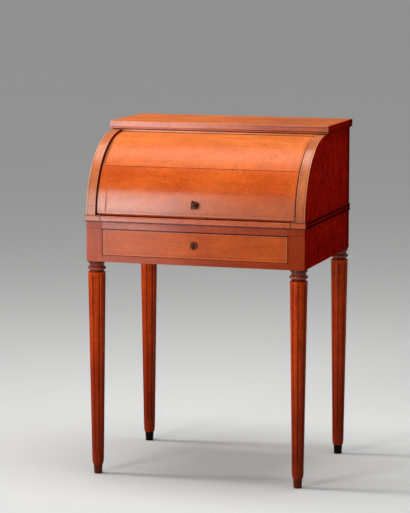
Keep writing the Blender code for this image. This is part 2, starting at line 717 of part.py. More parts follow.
# Writing slide, which runs out under the closed cylinder
slide = frame("writing_slide_frame", (0, FRONT, SLIDE_BOTTOM))
thick = SLIDE_TOP - SLIDE_BOTTOM
nose = [
    (SLIDE_RAIL_DEPTH, 0),
    (-BEAD_PROUD, 0),
    (-BEAD_PROUD, BEAD_HEIGHT),
    (-BAND_PROUD, BEAD_HEIGHT),
    (-BAND_PROUD, thick - BEAD_HEIGHT),
    (-BEAD_PROUD, thick - BEAD_HEIGHT),
    (-BEAD_PROUD, thick),
    (SLIDE_RAIL_DEPTH, thick),
]
mesh = outline_mesh("slide_front_rail", [nose], 2 * SLIDE_HALF)
slide_rail = add("slide_front_rail", mesh, FRONT_VENEER, slide, (0, 0, 0), ALONG_X)
board = box(
    "slide_board",
    (-SLIDE_HALF, SLIDE_RAIL_DEPTH + GAP, 0),
    (SLIDE_HALF, SLIDE_LENGTH, thick),
    INTERIOR_WOOD, slide,
)
leather_x = SLIDE_HALF - LEATHER_MARGIN
leather_y = (SLIDE_RAIL_DEPTH + GAP * 2, SLIDE_RAIL_DEPTH + LEATHER_DEPTH)
leather_floor = thick - LEATHER_THICKNESS
box("slide_leather", (-leather_x, leather_y[0], leather_floor), (leather_x, leather_y[1], thick), LEATHER, slide)
cut_box(
    board, "leather_recess",
    (-leather_x - GAP, leather_y[0] - GAP * 4, leather_floor - GAP),
    (leather_x + GAP, leather_y[1] + GAP, thick + GAP), slide,
)

# Mortise in the slide for the cylinder's bolt, where the bolt's path meets the slide's top
bolt_middle = (BOLT_FRONT + BOLT_BACK) / 2
bolt_radius = PANEL_RADIUS - bolt_middle
bolt_drop = PANEL_INSIDE * sin(edge_angle) + BOLT_THROW
bolt_half = BOLT_WIDTH / 2 + MORTISE_SPARE
bolt_y = ARC_RADIUS - bolt_radius * cos(KEY_TILT) - bolt_drop * sin(KEY_TILT)
bolt_z = WAIST_TOP - SLIDE_BOTTOM + bolt_radius * sin(KEY_TILT) - bolt_drop * cos(KEY_TILT)
cut_box(
    slide_rail, "bolt_mortise",
    (-bolt_half, bolt_y - BOLT_THICKNESS / 2 - MORTISE_SPARE, bolt_z - MORTISE_SPARE),
    (bolt_half, bolt_y + BOLT_THICKNESS / 2 + 2 * MORTISE_SPARE, thick + GAP), slide,
)


# Long drawer
drawer = frame("drawer_frame", (0, FRONT, OPENING_BOTTOM))
drawer_x = POST_INSIDE - RUN
side_top = DRAWER_OPENING - DRAWER_SIDE_DROP
behind_front = DRAWER_FRONT + GAP
drawer_front = box(
    "drawer_front", (-drawer_x, 0, GAP), (drawer_x, DRAWER_FRONT, DRAWER_OPENING - RUN), FRONT_VENEER, drawer
)
groove_z = (DRAWER_BOTTOM_RISE, DRAWER_BOTTOM_RISE + DRAWER_BOTTOM)
for hand, right in (("left", -1), ("right", 1)):
    x = sorted((right * (drawer_x - DRAWER_SIDE), right * drawer_x))
    side = box(f"drawer_side_{hand}", (x[0], behind_front, GAP), (x[1], DRAWER_LENGTH, side_top), OAK, drawer)
    inside = drawer_x - DRAWER_SIDE
    x = sorted((right * (inside - GAP), right * (inside + DRAWER_GROOVE)))
    cut_box(
        side, "bottom_groove",
        (x[0], behind_front - GAP, groove_z[0] - GAP),
        (x[1], DRAWER_LENGTH + GAP, groove_z[1] + GAP), drawer,
    )
inside = drawer_x - DRAWER_SIDE - GAP
box(
    "drawer_back",
    (-inside, DRAWER_LENGTH - DRAWER_BACK, groove_z[1] + GAP), (inside, DRAWER_LENGTH, side_top), OAK, drawer,
)
bottom_x = drawer_x - DRAWER_SIDE + DRAWER_GROOVE - GAP
box("drawer_bottom", (-bottom_x, behind_front, groove_z[0]), (bottom_x, DRAWER_LENGTH, groove_z[1]), OAK, drawer)

keyhole_z = DRAWER_OPENING / 2
drawer_lock = frame("drawer_lock_frame", (0, 0, keyhole_z), drawer)
drawer_lock_reach = DRAWER_OPENING - RUN - keyhole_z - GAP
lock("drawer", drawer_lock, drawer_front, 1, drawer_lock_reach, IRON)
cut_box(
    upper_rail, "bolt_mortise",
    (-bolt_half, FRONT + BOLT_FRONT - MORTISE_SPARE, OPENING_TOP - GAP),
    (bolt_half, FRONT + BOLT_BACK + MORTISE_SPARE, OPENING_TOP + BOLT_THROW + MORTISE_SPARE),
)


# Fitted interior: a base carried on the slide guides, and a nest of small drawers under pigeonholes
nest_front = AXIS_Y - CASIER_LEAD
nest_back = AXIS_Y + CASIER_REACH
base_low = WAIST_TOP + GAP
base_top = base_low + CASIER_BASE
nest_top = WAIST_TOP + CASIER_HEIGHT
base_rear = REAR - BACK_THICKNESS - GAP
wide = SIDE_INSIDE - GAP
step_y = AXIS_Y + BASE_WIDE_START
base_plan = [
    (-CASIER_HALF, nest_front - CASIER_NOSE),
    (CASIER_HALF, nest_front - CASIER_NOSE),
    (CASIER_HALF, step_y),
    (wide, step_y),
    (wide, base_rear),
    (-wide, base_rear),
    (-wide, step_y),
    (-CASIER_HALF, step_y),
]
mesh = outline_mesh("nest_base", [base_plan], CASIER_BASE)
add("nest_base", mesh, INTERIOR_WOOD, None, (0, 0, (base_low + base_top) / 2), ALONG_Z)

wall_low = base_top + GAP
wall_top = nest_top - CASIER_BOARD - GAP
boards_back = nest_back - CASIER_BOARD - GAP
for hand, right in (("left", -1), ("right", 1)):
    x = sorted((right * (CASIER_HALF - CASIER_END), right * CASIER_HALF))
    box(f"nest_end_{hand}", (x[0], nest_front, wall_low), (x[1], boards_back, wall_top), INTERIOR_WOOD)
box(
    "nest_back", (-CASIER_HALF, nest_back - CASIER_BOARD, wall_low), (CASIER_HALF, nest_back, wall_top), INTERIOR_WOOD
)
box(
    "nest_top",
    (-CASIER_HALF, nest_front - CASIER_NOSE, nest_top - CASIER_BOARD),
    (CASIER_HALF, nest_back, nest_top),
    INTERIOR_WOOD,
)

bay_inside = CASIER_HALF - CASIER_END
bays = len(INNER_DRAWERS)
bay = (2 * bay_inside - (bays - 1) * CASIER_BOARD) / bays
shelf_z = (wall_low + INNER_HEIGHT + RUN, wall_low + INNER_HEIGHT + RUN + CASIER_BOARD)
shelf_x = bay_inside - GAP
shelf = box(
    "nest_shelf", (-shelf_x, nest_front, shelf_z[0]), (shelf_x, boards_back, shelf_z[1]), INTERIOR_WOOD
)
halving = (nest_front + boards_back) / 2
for i, hand in enumerate(("left", "right")):
    x0 = -bay_inside + (i + 1) * bay + i * CASIER_BOARD
    divider = box(
        f"nest_divider_{hand}",
        (x0, nest_front, wall_low), (x0 + CASIER_BOARD, boards_back, wall_top), INTERIOR_WOOD,
    )
    cut_box(
        divider, "shelf_halving",
        (x0 - GAP, nest_front - GAP, shelf_z[0] - GAP),
        (x0 + CASIER_BOARD + GAP, halving + GAP, shelf_z[1] + GAP),
    )
    cut_box(
        shelf, f"divider_halving_{hand}",
        (x0 - GAP, halving, shelf_z[0] - GAP), (x0 + CASIER_BOARD + GAP, boards_back + GAP, shelf_z[1] + GAP),
    )

for i, hand in enumerate(INNER_DRAWERS):
    x0 = -bay_inside + i * (bay + CASIER_BOARD) + RUN
    x1 = x0 + bay - 2 * RUN
    inner = frame(f"inner_drawer_{hand}_frame", ((x0 + x1) / 2, nest_front, wall_low))
    half = (x1 - x0) / 2
    length = boards_back - nest_front - RUN
    tray = box(f"inner_drawer_{hand}", (-half, 0, 0), (half, length, INNER_HEIGHT), INTERIOR_WOOD, inner)
    cut_box(
        tray, "hollow",
        (-half + INNER_WALL, INNER_FRONT, INNER_BOTTOM),
        (half - INNER_WALL, length - INNER_WALL, INNER_HEIGHT + INNER_WALL), inner,
    )
    ball = KNOB_LENGTH - KNOB_RADIUS
    knob = [(KNOB_RADIUS * sin(radians(a)), ball + KNOB_RADIUS * cos(radians(a))) for a in (0, 30, 60, 90, 120)]
    knob += [(KNOB_STEM, ball - KNOB_RADIUS * 0.75), (KNOB_STEM * 1.5, GAP), (0, GAP)]
    turned(f"inner_knob_{hand}", knob, 16, BRASS, inner, (0, 0, INNER_HEIGHT / 2), ALONG_Y)
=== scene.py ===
"""A small cylinder-front writing desk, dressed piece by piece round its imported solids.

Metres, +Z up. The desk faces -Y and stands on Z = 0.
"""

import math

import bmesh
import bpy
from mathutils import Matrix, Vector


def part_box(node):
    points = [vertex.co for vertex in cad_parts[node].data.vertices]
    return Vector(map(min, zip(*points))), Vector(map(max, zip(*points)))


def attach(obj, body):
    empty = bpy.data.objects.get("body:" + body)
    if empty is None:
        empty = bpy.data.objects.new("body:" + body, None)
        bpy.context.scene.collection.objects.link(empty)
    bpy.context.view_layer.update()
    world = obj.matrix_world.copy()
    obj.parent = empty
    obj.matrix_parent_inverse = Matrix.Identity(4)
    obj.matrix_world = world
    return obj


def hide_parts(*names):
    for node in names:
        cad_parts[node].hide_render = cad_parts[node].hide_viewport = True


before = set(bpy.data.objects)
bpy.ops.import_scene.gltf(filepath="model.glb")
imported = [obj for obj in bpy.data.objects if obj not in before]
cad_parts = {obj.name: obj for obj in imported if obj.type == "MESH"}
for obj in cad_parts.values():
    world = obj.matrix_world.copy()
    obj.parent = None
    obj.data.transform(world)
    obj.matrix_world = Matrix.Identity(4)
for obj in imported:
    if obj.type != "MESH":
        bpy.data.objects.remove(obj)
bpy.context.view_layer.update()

# Turned legs
# Four tapered legs of cherry, turned with a ring collar at the head and fluted by hand.
# A dowel on each head is glued into its corner post, and the toes are stained dark.
LEG_HEAD = 0.6177
DOWEL_RADIUS = 0.010
DOWEL_TOP = 0.653
DOWEL_EASE = 0.0012
HEAD_HALF = 0.0028
QUIRK_MIDDLE = LEG_HEAD - 0.0076
NECK_RADIUS = 0.0215
RING_MIDDLE = LEG_HEAD - 0.0205
GROOVE_MIDDLE = LEG_HEAD - 0.0285
SHAFT_TOP = 0.5865
SHAFT_FOOT = 0.045
SHAFT_RADIUS = 0.025
ANKLE_RADIUS = 0.017
TOE_TOP = 0.027
TOE_RADIUS = 0.0135
FLUTES = 8
FLUTE_DEPTH = 0.0024
FLUTE_HEAD = 0.5745
FLUTE_FOOT = 0.067
GOUGE_HEAD = 0.0034
GOUGE_FOOT = 0.0026
LATHE_STEPS = 192
MERGE = 0.000002
LEG_TURN = {"front_left": -6, "front_right": 17, "rear_left": 4, "rear_right": 12}
LEG_PALE = (0.70, 0.074, 0.005)
LEG_DEEP = (0.46, 0.037, 0.003)
# The collar tones are painted shade: a darker copy of the leg wood, for the shade under the carcase.
COLLAR_SHADED_PALE = (0.40, 0.038, 0.004)
COLLAR_SHADED_DEEP = (0.25, 0.019, 0.003)
# The flute colour is dirt and painted shade; the low leg colour is painted shade.
FLUTE_DIRT_AND_SHADE = (0.120, 0.008, 0.002)
NECK_PAINTED_SHADE = (0.050, 0.006, 0.002)
LEG_LOW = (0.14, 0.009, 0.002)
LEG_SHADE = (0.50, 0.03)
TOE_STAIN = (0.004, 0.001, 0.001)
TOE_WORN = (0.115, 0.014, 0.004)


class Wire:
    """One socket among a material's nodes. Sums on it add Math nodes."""

    def __init__(self, tree, socket=None):
        self.tree = tree
        self.socket = socket

    def node(self, kind, settings, sockets, output=0):
        made = self.tree.nodes.new("ShaderNode" + kind)
        for name, value in settings.items():
            setattr(made, name, value)
        for name, value in sockets.items():
            if isinstance(value, Wire):
                self.tree.links.new(value.socket, made.inputs[name])
            else:
                made.inputs[name].default_value = value
        return Wire(self.tree, made.outputs[output])

    def sum(self, operation, *terms):
        return self.node("Math", {"operation": operation}, dict(enumerate(terms)))

    def __add__(self, other):
        return self.sum("ADD", self, other)

    def __radd__(self, other):
        return self.sum("ADD", other, self)

    def __sub__(self, other):
        return self.sum("SUBTRACT", self, other)

    def __rsub__(self, other):
        return self.sum("SUBTRACT", other, self)

    def __mul__(self, other):
        return self.sum("MULTIPLY", self, other)

    def __rmul__(self, other):
        return self.sum("MULTIPLY", other, self)

    def size(self):
        return self.sum("ABSOLUTE", self)

    def least(self, other):
        return self.sum("MINIMUM", self, other)

    def most(self, other):
        return self.sum("MAXIMUM", self, other)

    def near(self, value, reach):
        """1 within reach of a value, and 0 elsewhere."""
        return self.sum("COMPARE", self, value, reach)

    def rise(self, start, end):
        """Goes smoothly from 0 at start to 1 at end."""
        ends = {0: self, 1: start, 2: end}
        return self.node("MapRange", {"interpolation_type": "SMOOTHSTEP"}, ends)

    def mix(self, first, second):
        """The first colour where this is 0, the second where it is 1."""
        first, second = (c if isinstance(c, Wire) else (*c, 1) for c in (first, second))
        return self.node("Mix", {"data_type": "RGBA"}, {0: self, 6: first, 7: second}, 2)

    def swap(self, first, second):
        """The first vector where this is 0, the second where it is 1."""
        return self.node("Mix", {"data_type": "VECTOR"}, {0: self, 4: first, 5: second}, 1)

    def times(self, lengths):
        return self.node("VectorMath", {"operation": "MULTIPLY"}, {0: self, 1: lengths})

    def axes(self):
        return [self.node("SeparateXYZ", {}, {0: self}, i) for i in range(3)]

    def place(self):
        """Where a point is on the finished desk, in metres."""
        return self.node("TexCoord", {}, {}, "Object")

    def noise(self, detail=2.0, warp=0.0):
        sockets = {"Vector": self, "Scale": 1.0, "Detail": detail, "Distortion": warp}
        return self.node("TexNoise", {}, sockets)

    def mark(self, name):
        """A number kept on the mesh under this name."""
        return self.node("Attribute", {"attribute_name": name}, {}, "Fac")


def shader_of(name):
    """A new material's tree to draw in, and its surface shader."""
    made = bpy.data.materials.new(name)
    made.use_nodes = True
    return made, Wire(made.node_tree), made.node_tree.nodes["Principled BSDF"]


def feed(shader, **sockets):
    for name, wire in sockets.items():
        wire.tree.links.new(wire.socket, shader.inputs[name.replace("_", " ")])


def timber(
    name, pale, deep, along, gloss=0.34, specular=0.35, crossed=None, work=None, dull=None,
    fleck=0.5, blotch=0.16, coarse=1.0,
):
    """A polished wood. Its grain runs along one axis, or across it where crossed says so, work changes
    its colour for stain, stringing, dirt and painted light and shade, and dull says where the polish is
    lost."""
    made, start, shader = shader_of(name)
    place = start.place()
    x, y, z = place.axes()
    band = crossed(x, y, z) if crossed else None
    across = "z" if along == "x" else "x"

    def grain(run, fine, detail=2.0, warp=0.0):
        ways = (along, across) if crossed else (along,)
        lies = [place.times([run if axis == way else fine for axis in "xyz"]) for way in ways]
        return (band.swap(*lies) if crossed else lies[0]).noise(detail, warp)

    figure = grain(5, 26, 3.0, 0.6)
    cloud = place.times((9, 9, 9)).noise(2.0)
    mottle = place.times((55, 55, 55)).noise(3.0, 0.8).rise(0.35, 0.68)
    streak = grain(8, 260, 3.0).rise(0.40, 0.75)
    specks = grain(120, 290, 1.0).rise(0.60, 0.70) * place.times((13, 13, 13)).noise(1.0).rise(0.40, 0.62)
    pores = grain(330, 2600, 1.0).rise(0.58, 0.70)
    worn = start.mark("rub") * grain(40, 60).rise(0.30, 0.60)

    tone = (figure * 0.55 + cloud * 0.45).rise(0.30, 0.70)
    colour = tone.mix(deep, pale)
    shade = streak * (0.16 * coarse) + specks * fleck + pores * (0.14 * coarse) + mottle * blotch
    colour = shade.mix(colour, [c * 0.30 for c in deep])
    colour = (worn * 0.40).mix(colour, [min(1, c * 1.2 + 0.04) for c in pale])
    if work:
        colour = work(colour, x, y, z)
    height = streak * -0.35 + pores * -0.8 + figure * 0.25
    bump = start.node("Bump", {}, {"Strength": 0.22, "Distance": 0.0003, "Height": height})
    rough = cloud * 0.12 + (gloss - 0.06) + pores * 0.10 + worn * 0.08
    if dull:
        rough = rough + dull(x, y, z) * 0.55
    feed(shader, Base_Color=colour, Roughness=rough, Normal=bump)
    shader.inputs["Specular IOR Level"].default_value = specular
    return made


# Dirt and painted shade: the flutes are darkened, partly for old dirt and partly for their shade, and the
# legs are painted darker toward the floor, where less light falls. The toes are stained.
def legs_dirt_and_painted_shade(colour, x, y, z):
    colour = (colour.mark("sunk").rise(0.10, 0.95) * 0.40).mix(colour, FLUTE_DIRT_AND_SHADE)
    colour = (z.rise(*LEG_SHADE) * 0.75).mix(colour, LEG_LOW)
    toe = y.rise(-0.02, 0.02).mix(TOE_WORN, TOE_STAIN)
    return z.rise(TOE_TOP + 0.0006, TOE_TOP - 0.0006).mix(colour, toe)


# Painted shade: the neck, the quirk, a line above the ring and the groove below it are darkened.
def collar_painted_shade(colour, x, y, z):
    neck = z.rise(RING_MIDDLE + 0.0038, RING_MIDDLE + 0.0058) * 0.45
    quirk = z.rise(QUIRK_MIDDLE + 0.0006, QUIRK_MIDDLE + 0.0020) * 0.45
    line = z.near(RING_MIDDLE + 0.0050, 0.0013) * 0.45
    groove = z.rise(GROOVE_MIDDLE + 0.0023, GROOVE_MIDDLE + 0.0013) * 0.90
    return (neck + quirk + line + groove).mix(colour, NECK_PAINTED_SHADE)


leg_wood = timber(
    "turned_leg_wood", LEG_PALE, LEG_DEEP, "z", gloss=0.24, specular=0.07, work=legs_dirt_and_painted_shade,
    blotch=0.26, coarse=2.0,
)
collar_wood = timber(
    "turned_collar_wood", COLLAR_SHADED_PALE, COLLAR_SHADED_DEEP, "z", gloss=0.10, specular=0.42, work=collar_painted_shade
)


def piece(name, bm, body, node, slot, *finishes, sharp=12):
    """A finished mesh as an object that rides a body and stands for a CAD node."""
    mesh = bpy.data.meshes.new(name)
    bm.to_mesh(mesh)
    bm.free()
    if "custom_normal" in mesh.attributes:
        mesh.attributes.remove(mesh.attributes["custom_normal"])
    mesh.shade_smooth()
    mesh.set_sharp_from_angle(angle=math.radians(sharp))
    for finish in finishes:
        mesh.materials.append(finish)
    made = bpy.data.objects.new(name, mesh)
    bpy.context.scene.collection.objects.link(made)
    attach(made, body)
    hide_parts(node)


def swell(radius, height, out, up, start, end, steps):
    """Points round a moulding of a turned profile; angles are counted up from straight out."""
    angles = [math.radians(start + (end - start) * i / steps) for i in range(steps + 1)]
    return [(radius + out * math.cos(a), height + up * math.sin(a)) for a in angles]


def spaced(start, end, count):
    return [start + (end - start) * i / count for i in range(count + 1)]


def turned(profile, steps, phase=0.0):
    """A turning about the Z axis from a profile of radii and heights."""
    bm = bmesh.new()
    way = (math.cos(phase), math.sin(phase))
    points = [bm.verts.new((radius * way[0], radius * way[1], height)) for radius, height in profile]
    edges = [bm.edges.new(pair) for pair in zip(points, points[1:])]
    bmesh.ops.spin(
        bm, geom=points + edges, cent=(0, 0, 0), axis=(0, 0, 1),
        angle=2 * math.pi, steps=steps, use_merge=True,
    )
    bmesh.ops.remove_doubles(bm, verts=bm.verts, dist=MERGE)
    bmesh.ops.recalc_face_normals(bm, faces=bm.faces)
    return bm


def shaft_radius(z):
    return ANKLE_RADIUS + (SHAFT_RADIUS - ANKLE_RADIUS) * (z - SHAFT_FOOT) / (SHAFT_TOP - SHAFT_FOOT)


def cut_flutes(bm, phase):
    """Presses a round-ended flute in at every eighth of the turn."""
    sunk = bm.verts.layers.float.new("sunk")
    pitch = 2 * math.pi / FLUTES
    for vert in bm.verts:
        z = vert.co.z
        if not FLUTE_FOOT - GOUGE_FOOT < z < FLUTE_HEAD + GOUGE_HEAD:
            continue
        share = min(1, max(0, (z - FLUTE_FOOT) / (FLUTE_HEAD - FLUTE_FOOT)))
        gouge = GOUGE_FOOT + (GOUGE_HEAD - GOUGE_FOOT) * share
        beyond = max(0, z - FLUTE_HEAD, FLUTE_FOOT - z)
        radius = math.hypot(vert.co.x, vert.co.y)
        angle = math.atan2(vert.co.y, vert.co.x) - phase
        middle = round(angle / pitch) * pitch
        aside = radius * math.sin(angle - middle)
        reach = gouge * gouge - aside * aside - beyond * beyond
        if reach <= 0:
            continue
        out = radius * math.cos(angle - middle)
        bed = radius + gouge - FLUTE_DEPTH - math.sqrt(reach)
        if bed >= out:
            continue
        vert[sunk] = (out - bed) / FLUTE_DEPTH
        turn = Matrix.Rotation(middle + phase, 3, "Z")
        vert.co = turn @ Vector((bed, aside, z))


leg_profile = [
    (0, DOWEL_TOP),
    *swell(DOWEL_RADIUS - DOWEL_EASE, DOWEL_TOP - DOWEL_EASE, DOWEL_EASE, DOWEL_EASE, 90, 0, 4),
    (DOWEL_RADIUS, LEG_HEAD),
    *swell(SHAFT_RADIUS - 0.0020, LEG_HEAD - HEAD_HALF, 0.0020, HEAD_HALF, 90, -90, 12),
    *swell(NECK_RADIUS + 0.0011, QUIRK_MIDDLE, 0.0014, 0.0018, 110, 235, 8),
    (NECK_RADIUS, LEG_HEAD - 0.0098),
    (NECK_RADIUS - 0.0001, LEG_HEAD - 0.0150),
    *swell(NECK_RADIUS, RING_MIDDLE, 0.0047, 0.0049, 84, -84, 20),
    *swell(NECK_RADIUS + 0.0001, GROOVE_MIDDLE, 0.0016, 0.0021, 120, 240, 8),
    *swell(SHAFT_RADIUS - 0.0014, SHAFT_TOP - 0.0012, 0.0014, 0.0014, 75, 0, 5),
]
shaft_rows = [
    *spaced(SHAFT_TOP - 0.004, FLUTE_HEAD + GOUGE_HEAD + 0.0006, 2),
    *spaced(FLUTE_HEAD + GOUGE_HEAD, FLUTE_HEAD - 0.001, 11),
    *spaced(FLUTE_HEAD - 0.020, FLUTE_FOOT + 0.020, 16),
    *spaced(FLUTE_FOOT + 0.001, FLUTE_FOOT - GOUGE_FOOT, 9),
    FLUTE_FOOT - GOUGE_FOOT - 0.0006,
]
foot_profile = [
    (ANKLE_RADIUS, SHAFT_FOOT),
    (0.0168, 0.041),
    (0.0164, 0.037),
    (0.0158, 0.033),
    (0.0151, 0.0295),
    *swell(0.0141, 0.0285, 0.0009, 0.0009, 15, -90, 6),
    (TOE_RADIUS - 0.0002, TOE_TOP + 0.0004),
    (TOE_RADIUS - 0.0005, TOE_TOP - 0.001),
    (0.0117, 0.003),
    (0.0115, 0.0012),
    (0.0104, 0),
    (0, 0),
]
leg_profile += [(shaft_radius(z), z) for z in shaft_rows] + foot_profile

for corner, turn in LEG_TURN.items():
    phase = math.radians(turn - 90)
    bm = turned(leg_profile, LATHE_STEPS, phase)
    cut_flutes(bm, phase)
    low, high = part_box(f"leg_{corner}")
    axis = ((low.x + high.x) / 2, (low.y + high.y) / 2, 0)
    bmesh.ops.translate(bm, vec=axis, verts=bm.verts)
    for face in bm.faces:
        if face.calc_center_median().z > SHAFT_TOP + 0.0004:
            face.material_index = 1
    piece(
        f"turned_leg_{corner}", bm, "case", f"leg_{corner}", "turned_wood",
        leg_wood, collar_wood, sharp=38,
    )

# Corner posts
# Four square posts over the legs, faced with veneer. On the front the rails' veneer runs right out
# to the corner above the drawer, and meets the post's upright veneer in a fine joint.
OPENING_TOP = 0.713
EASE = 0.0008
SAME = 0.00002
FACING = 0.7
FRAME_PALE = (0.53, 0.071, 0.007)
FRAME_DEEP = (0.39, 0.042, 0.004)
FRAME_SHADE_TINT = (0.84, 0.72, 0.65)
FRAME_SHADE_SPAN = (-0.10, 0.20)
# The side red is painted shade: the deep red that the side shows in shade.
SIDE_PALE = (0.76, 0.016, 0.006)
SIDE_DEEP = (0.54, 0.009, 0.004)
SIDE_LIT_TINT = (0.66, 3.5, 2.2)
SIDE_SHADE_TINT = (0.30, 0.30, 0.40)
WALL_END = (0.215, 0.245)
SIDE_SHADE_SPAN = (0.735, 0.640)
LEFT_HALF = (0.05, -0.05)
BACK_PALE = (0.30, 0.045, 0.012)
BACK_DEEP = (0.20, 0.026, 0.007)
JOINT_DARK = (0.070, 0.012, 0.005)


def outer_edge(edge, low, high):
    """True along the edges of a box between these corners."""
    def walls(vert):
        return {
            (axis, end)
            for axis in range(3)
            for end, corner in enumerate((low, high))
            if abs(vert.co[axis] - corner[axis]) < SAME
        }
    return len(walls(edge.verts[0]) & walls(edge.verts[1])) > 1


def eased(node, ease, segments=2, chosen=None):
    """A copy of a CAD node's mesh, merged, with its outer or chosen edges rounded over."""
    bm = bmesh.new()
    bm.from_mesh(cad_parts[node].data)
    bmesh.ops.remove_doubles(bm, verts=bm.verts, dist=MERGE)
    bmesh.ops.dissolve_limit(bm, angle_limit=0.005, verts=bm.verts, edges=bm.edges)
    low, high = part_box(node)
    rounded = [edge for edge in bm.edges if (chosen(edge) if chosen else outer_edge(edge, low, high))]
    round_over(bm, rounded, ease, segments)
    return bm


def round_over(bm, edges, ease, segments=2):
    """Rounds these edges and marks the new faces as places where polish rubs thin."""
    rub = bm.faces.layers.float.get("rub") or bm.faces.layers.float.new("rub")
    made = bmesh.ops.bevel(
        bm, geom=edges, offset=ease, offset_type="OFFSET", segments=segments, profile=0.5,
        affect="EDGES", clamp_overlap=True, material=-1,
    )
    for face in made["faces"]:
        face[rub] = 1.0
    bm.normal_update()


def frame_painted_shade(colour, x, y, z):
    """Painted shade: the front is darker toward the right, where less light falls."""
    return x.rise(*FRAME_SHADE_SPAN).mix(colour, colour.times(FRAME_SHADE_TINT))


def post_joint(colour, x, y, z):
    return z.near(OPENING_TOP, 0.0006).mix(frame_painted_shade(colour, x, y, z), JOINT_DARK)


def side_painted_light(colour, x, y, z):
    """Painted light: the sides are the deep red of their shaded look, the lit left side is tinted browner,
    and painted shade darkens the wall end and the parts below the waist.
    """
    side_shade = (y.rise(*WALL_END) * 0.85).most(z.rise(*SIDE_SHADE_SPAN) * 0.30)
    colour = side_shade.mix(colour, colour.times(SIDE_SHADE_TINT))
    return x.rise(*LEFT_HALF).mix(colour, colour.times(SIDE_LIT_TINT))


post_veneer = timber(
    "post_veneer", FRAME_PALE, FRAME_DEEP, "z", gloss=0.16, specular=0.11,
    crossed=lambda x, y, z: z.rise(OPENING_TOP, OPENING_TOP + 0.0001), work=post_joint,
)
side_upright = timber(
    "side_veneer_upright", SIDE_PALE, SIDE_DEEP, "z", gloss=0.50, specular=0.0,
    work=side_painted_light, blotch=0.50,
)
back_upright = timber(
    "back_veneer_upright", BACK_PALE, BACK_DEEP, "z", gloss=0.50, specular=0.10, blotch=0.35
)
for corner in LEG_TURN:
    bm = eased(f"post_{corner}", EASE)
    for face in bm.faces:
        if abs(face.normal.x) > FACING:
            face.material_index = 1
    front = post_veneer if corner.startswith("front") else back_upright
    piece(f"corner_post_{corner}", bm, "case", f"post_{corner}", "front_veneer", front, side_upright)

# Rails and aprons
# Two rails close the front above and below the drawer; an apron closes each side and the back.
# All are tenoned into the posts, veneered lengthwise, and eased along their edges. The upper rail
# keeps a sharp arris below, where the bolt's mortise is cut.
ARRIS_ABOVE = OPENING_TOP + 0.018
LONG_EDGE = 0.1
rail_veneer = timber(
    "rail_veneer", FRAME_PALE, FRAME_DEEP, "x", gloss=0.17, specular=0.14, work=frame_painted_shade
)
upper_rail_veneer = timber(
    "upper_rail_veneer", FRAME_PALE, FRAME_DEEP, "x", gloss=0.15, specular=0.24, work=frame_painted_shade
)
side_lengthwise = timber(
    "side_veneer_lengthwise", SIDE_PALE, SIDE_DEEP, "y", gloss=0.50, specular=0.0,
    work=side_painted_light, blotch=0.50,
)
back_veneer = timber("back_veneer", BACK_PALE, BACK_DEEP, "x", gloss=0.50, specular=0.10, blotch=0.35)


def top_arris(edge):
    ends = [vert.co for vert in edge.verts]
    above = min(end.z for end in ends) > ARRIS_ABOVE
    return above and abs(ends[0].x - ends[1].x) > LONG_EDGE


for node, veneer, slot in (
    ("front_rail_lower", rail_veneer, "front_veneer"),
    ("front_rail_upper", upper_rail_veneer, "front_veneer"),
    ("side_apron_left", side_lengthwise, "side_veneer"),
    ("side_apron_right", side_lengthwise, "side_veneer"),
    ("back_apron", back_veneer, "side_veneer"),
):
    chosen = top_arris if node == "front_rail_upper" else None
    piece(f"veneered_{node}", eased(node, EASE, chosen=chosen), "case", node, slot, veneer)

# Runners, kickers and guides
# Plain planed oak inside the carcase: runners carry the drawer, kickers keep it level and carry
# the writing slide, and guides keep the slide straight. Glued and never polished.
OAK_PALE = (0.40, 0.235, 0.115)
OAK_DEEP = (0.27, 0.145, 0.065)
oak_lengthwise = timber("oak_lengthwise", OAK_PALE, OAK_DEEP, "y", gloss=0.62, specular=0.25, fleck=0.25)
for hand in ("left", "right"):
    for part in ("drawer_runner", "kicker", "slide_guide"):
        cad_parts[f"{part}_{hand}"].material_slots[0].material = oak_lengthwise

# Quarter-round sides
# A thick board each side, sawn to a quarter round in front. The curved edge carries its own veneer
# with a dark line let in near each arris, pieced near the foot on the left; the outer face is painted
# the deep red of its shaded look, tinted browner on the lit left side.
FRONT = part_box("post_front_left")[0].y
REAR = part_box("post_rear_left")[1].y
ARC_RADIUS = 0.225
AXIS_Y = FRONT + ARC_RADIUS
AXIS_Z = 0.750
CROWN = 0.9747
SIDE_FOOT = 0.7318
SIDE_INSIDE = 0.293
SIDE_OUTSIDE = 0.320
TRACK_REACH = 0.190
ARC_STEPS = 90
INNER_STRING = SIDE_INSIDE + 0.0052
OUTER_STRING = SIDE_OUTSIDE - 0.0042
STRING_HALF = 0.0006
RIGHT_HALF = (-0.05, 0.05)
STRING_DARK = (0.075, 0.014, 0.005)
STRING_LIGHT = (0.80, 0.33, 0.15)
# Painted shade for gaps and contact lines.
GAP_PAINTED_SHADE = (0.035, 0.009, 0.005)
TRACK_STAIN_AND_SHADE = (0.26, 0.006, 0.002)
STRIP_PALE = (0.60, 0.132, 0.026)
STRIP_DEEP = (0.46, 0.084, 0.014)
STRIP_PAINTED_SHEEN = (1.04, 1.40, 2.4)
STRIP_SHEEN_SPAN = (0.775, 0.84)
PATCH_HEIGHT = 0.777
INSIDE_PALE = (0.50, 0.175, 0.055)
INSIDE_DEEP = (0.36, 0.105, 0.030)


def strip_strings(x, y, z):
    inner = x.size().near(INNER_STRING, STRING_HALF) * (0.20 + x.rise(*RIGHT_HALF) * 0.50)
    outer = x.size().near(OUTER_STRING, STRING_HALF) * 0.80
    return inner + outer


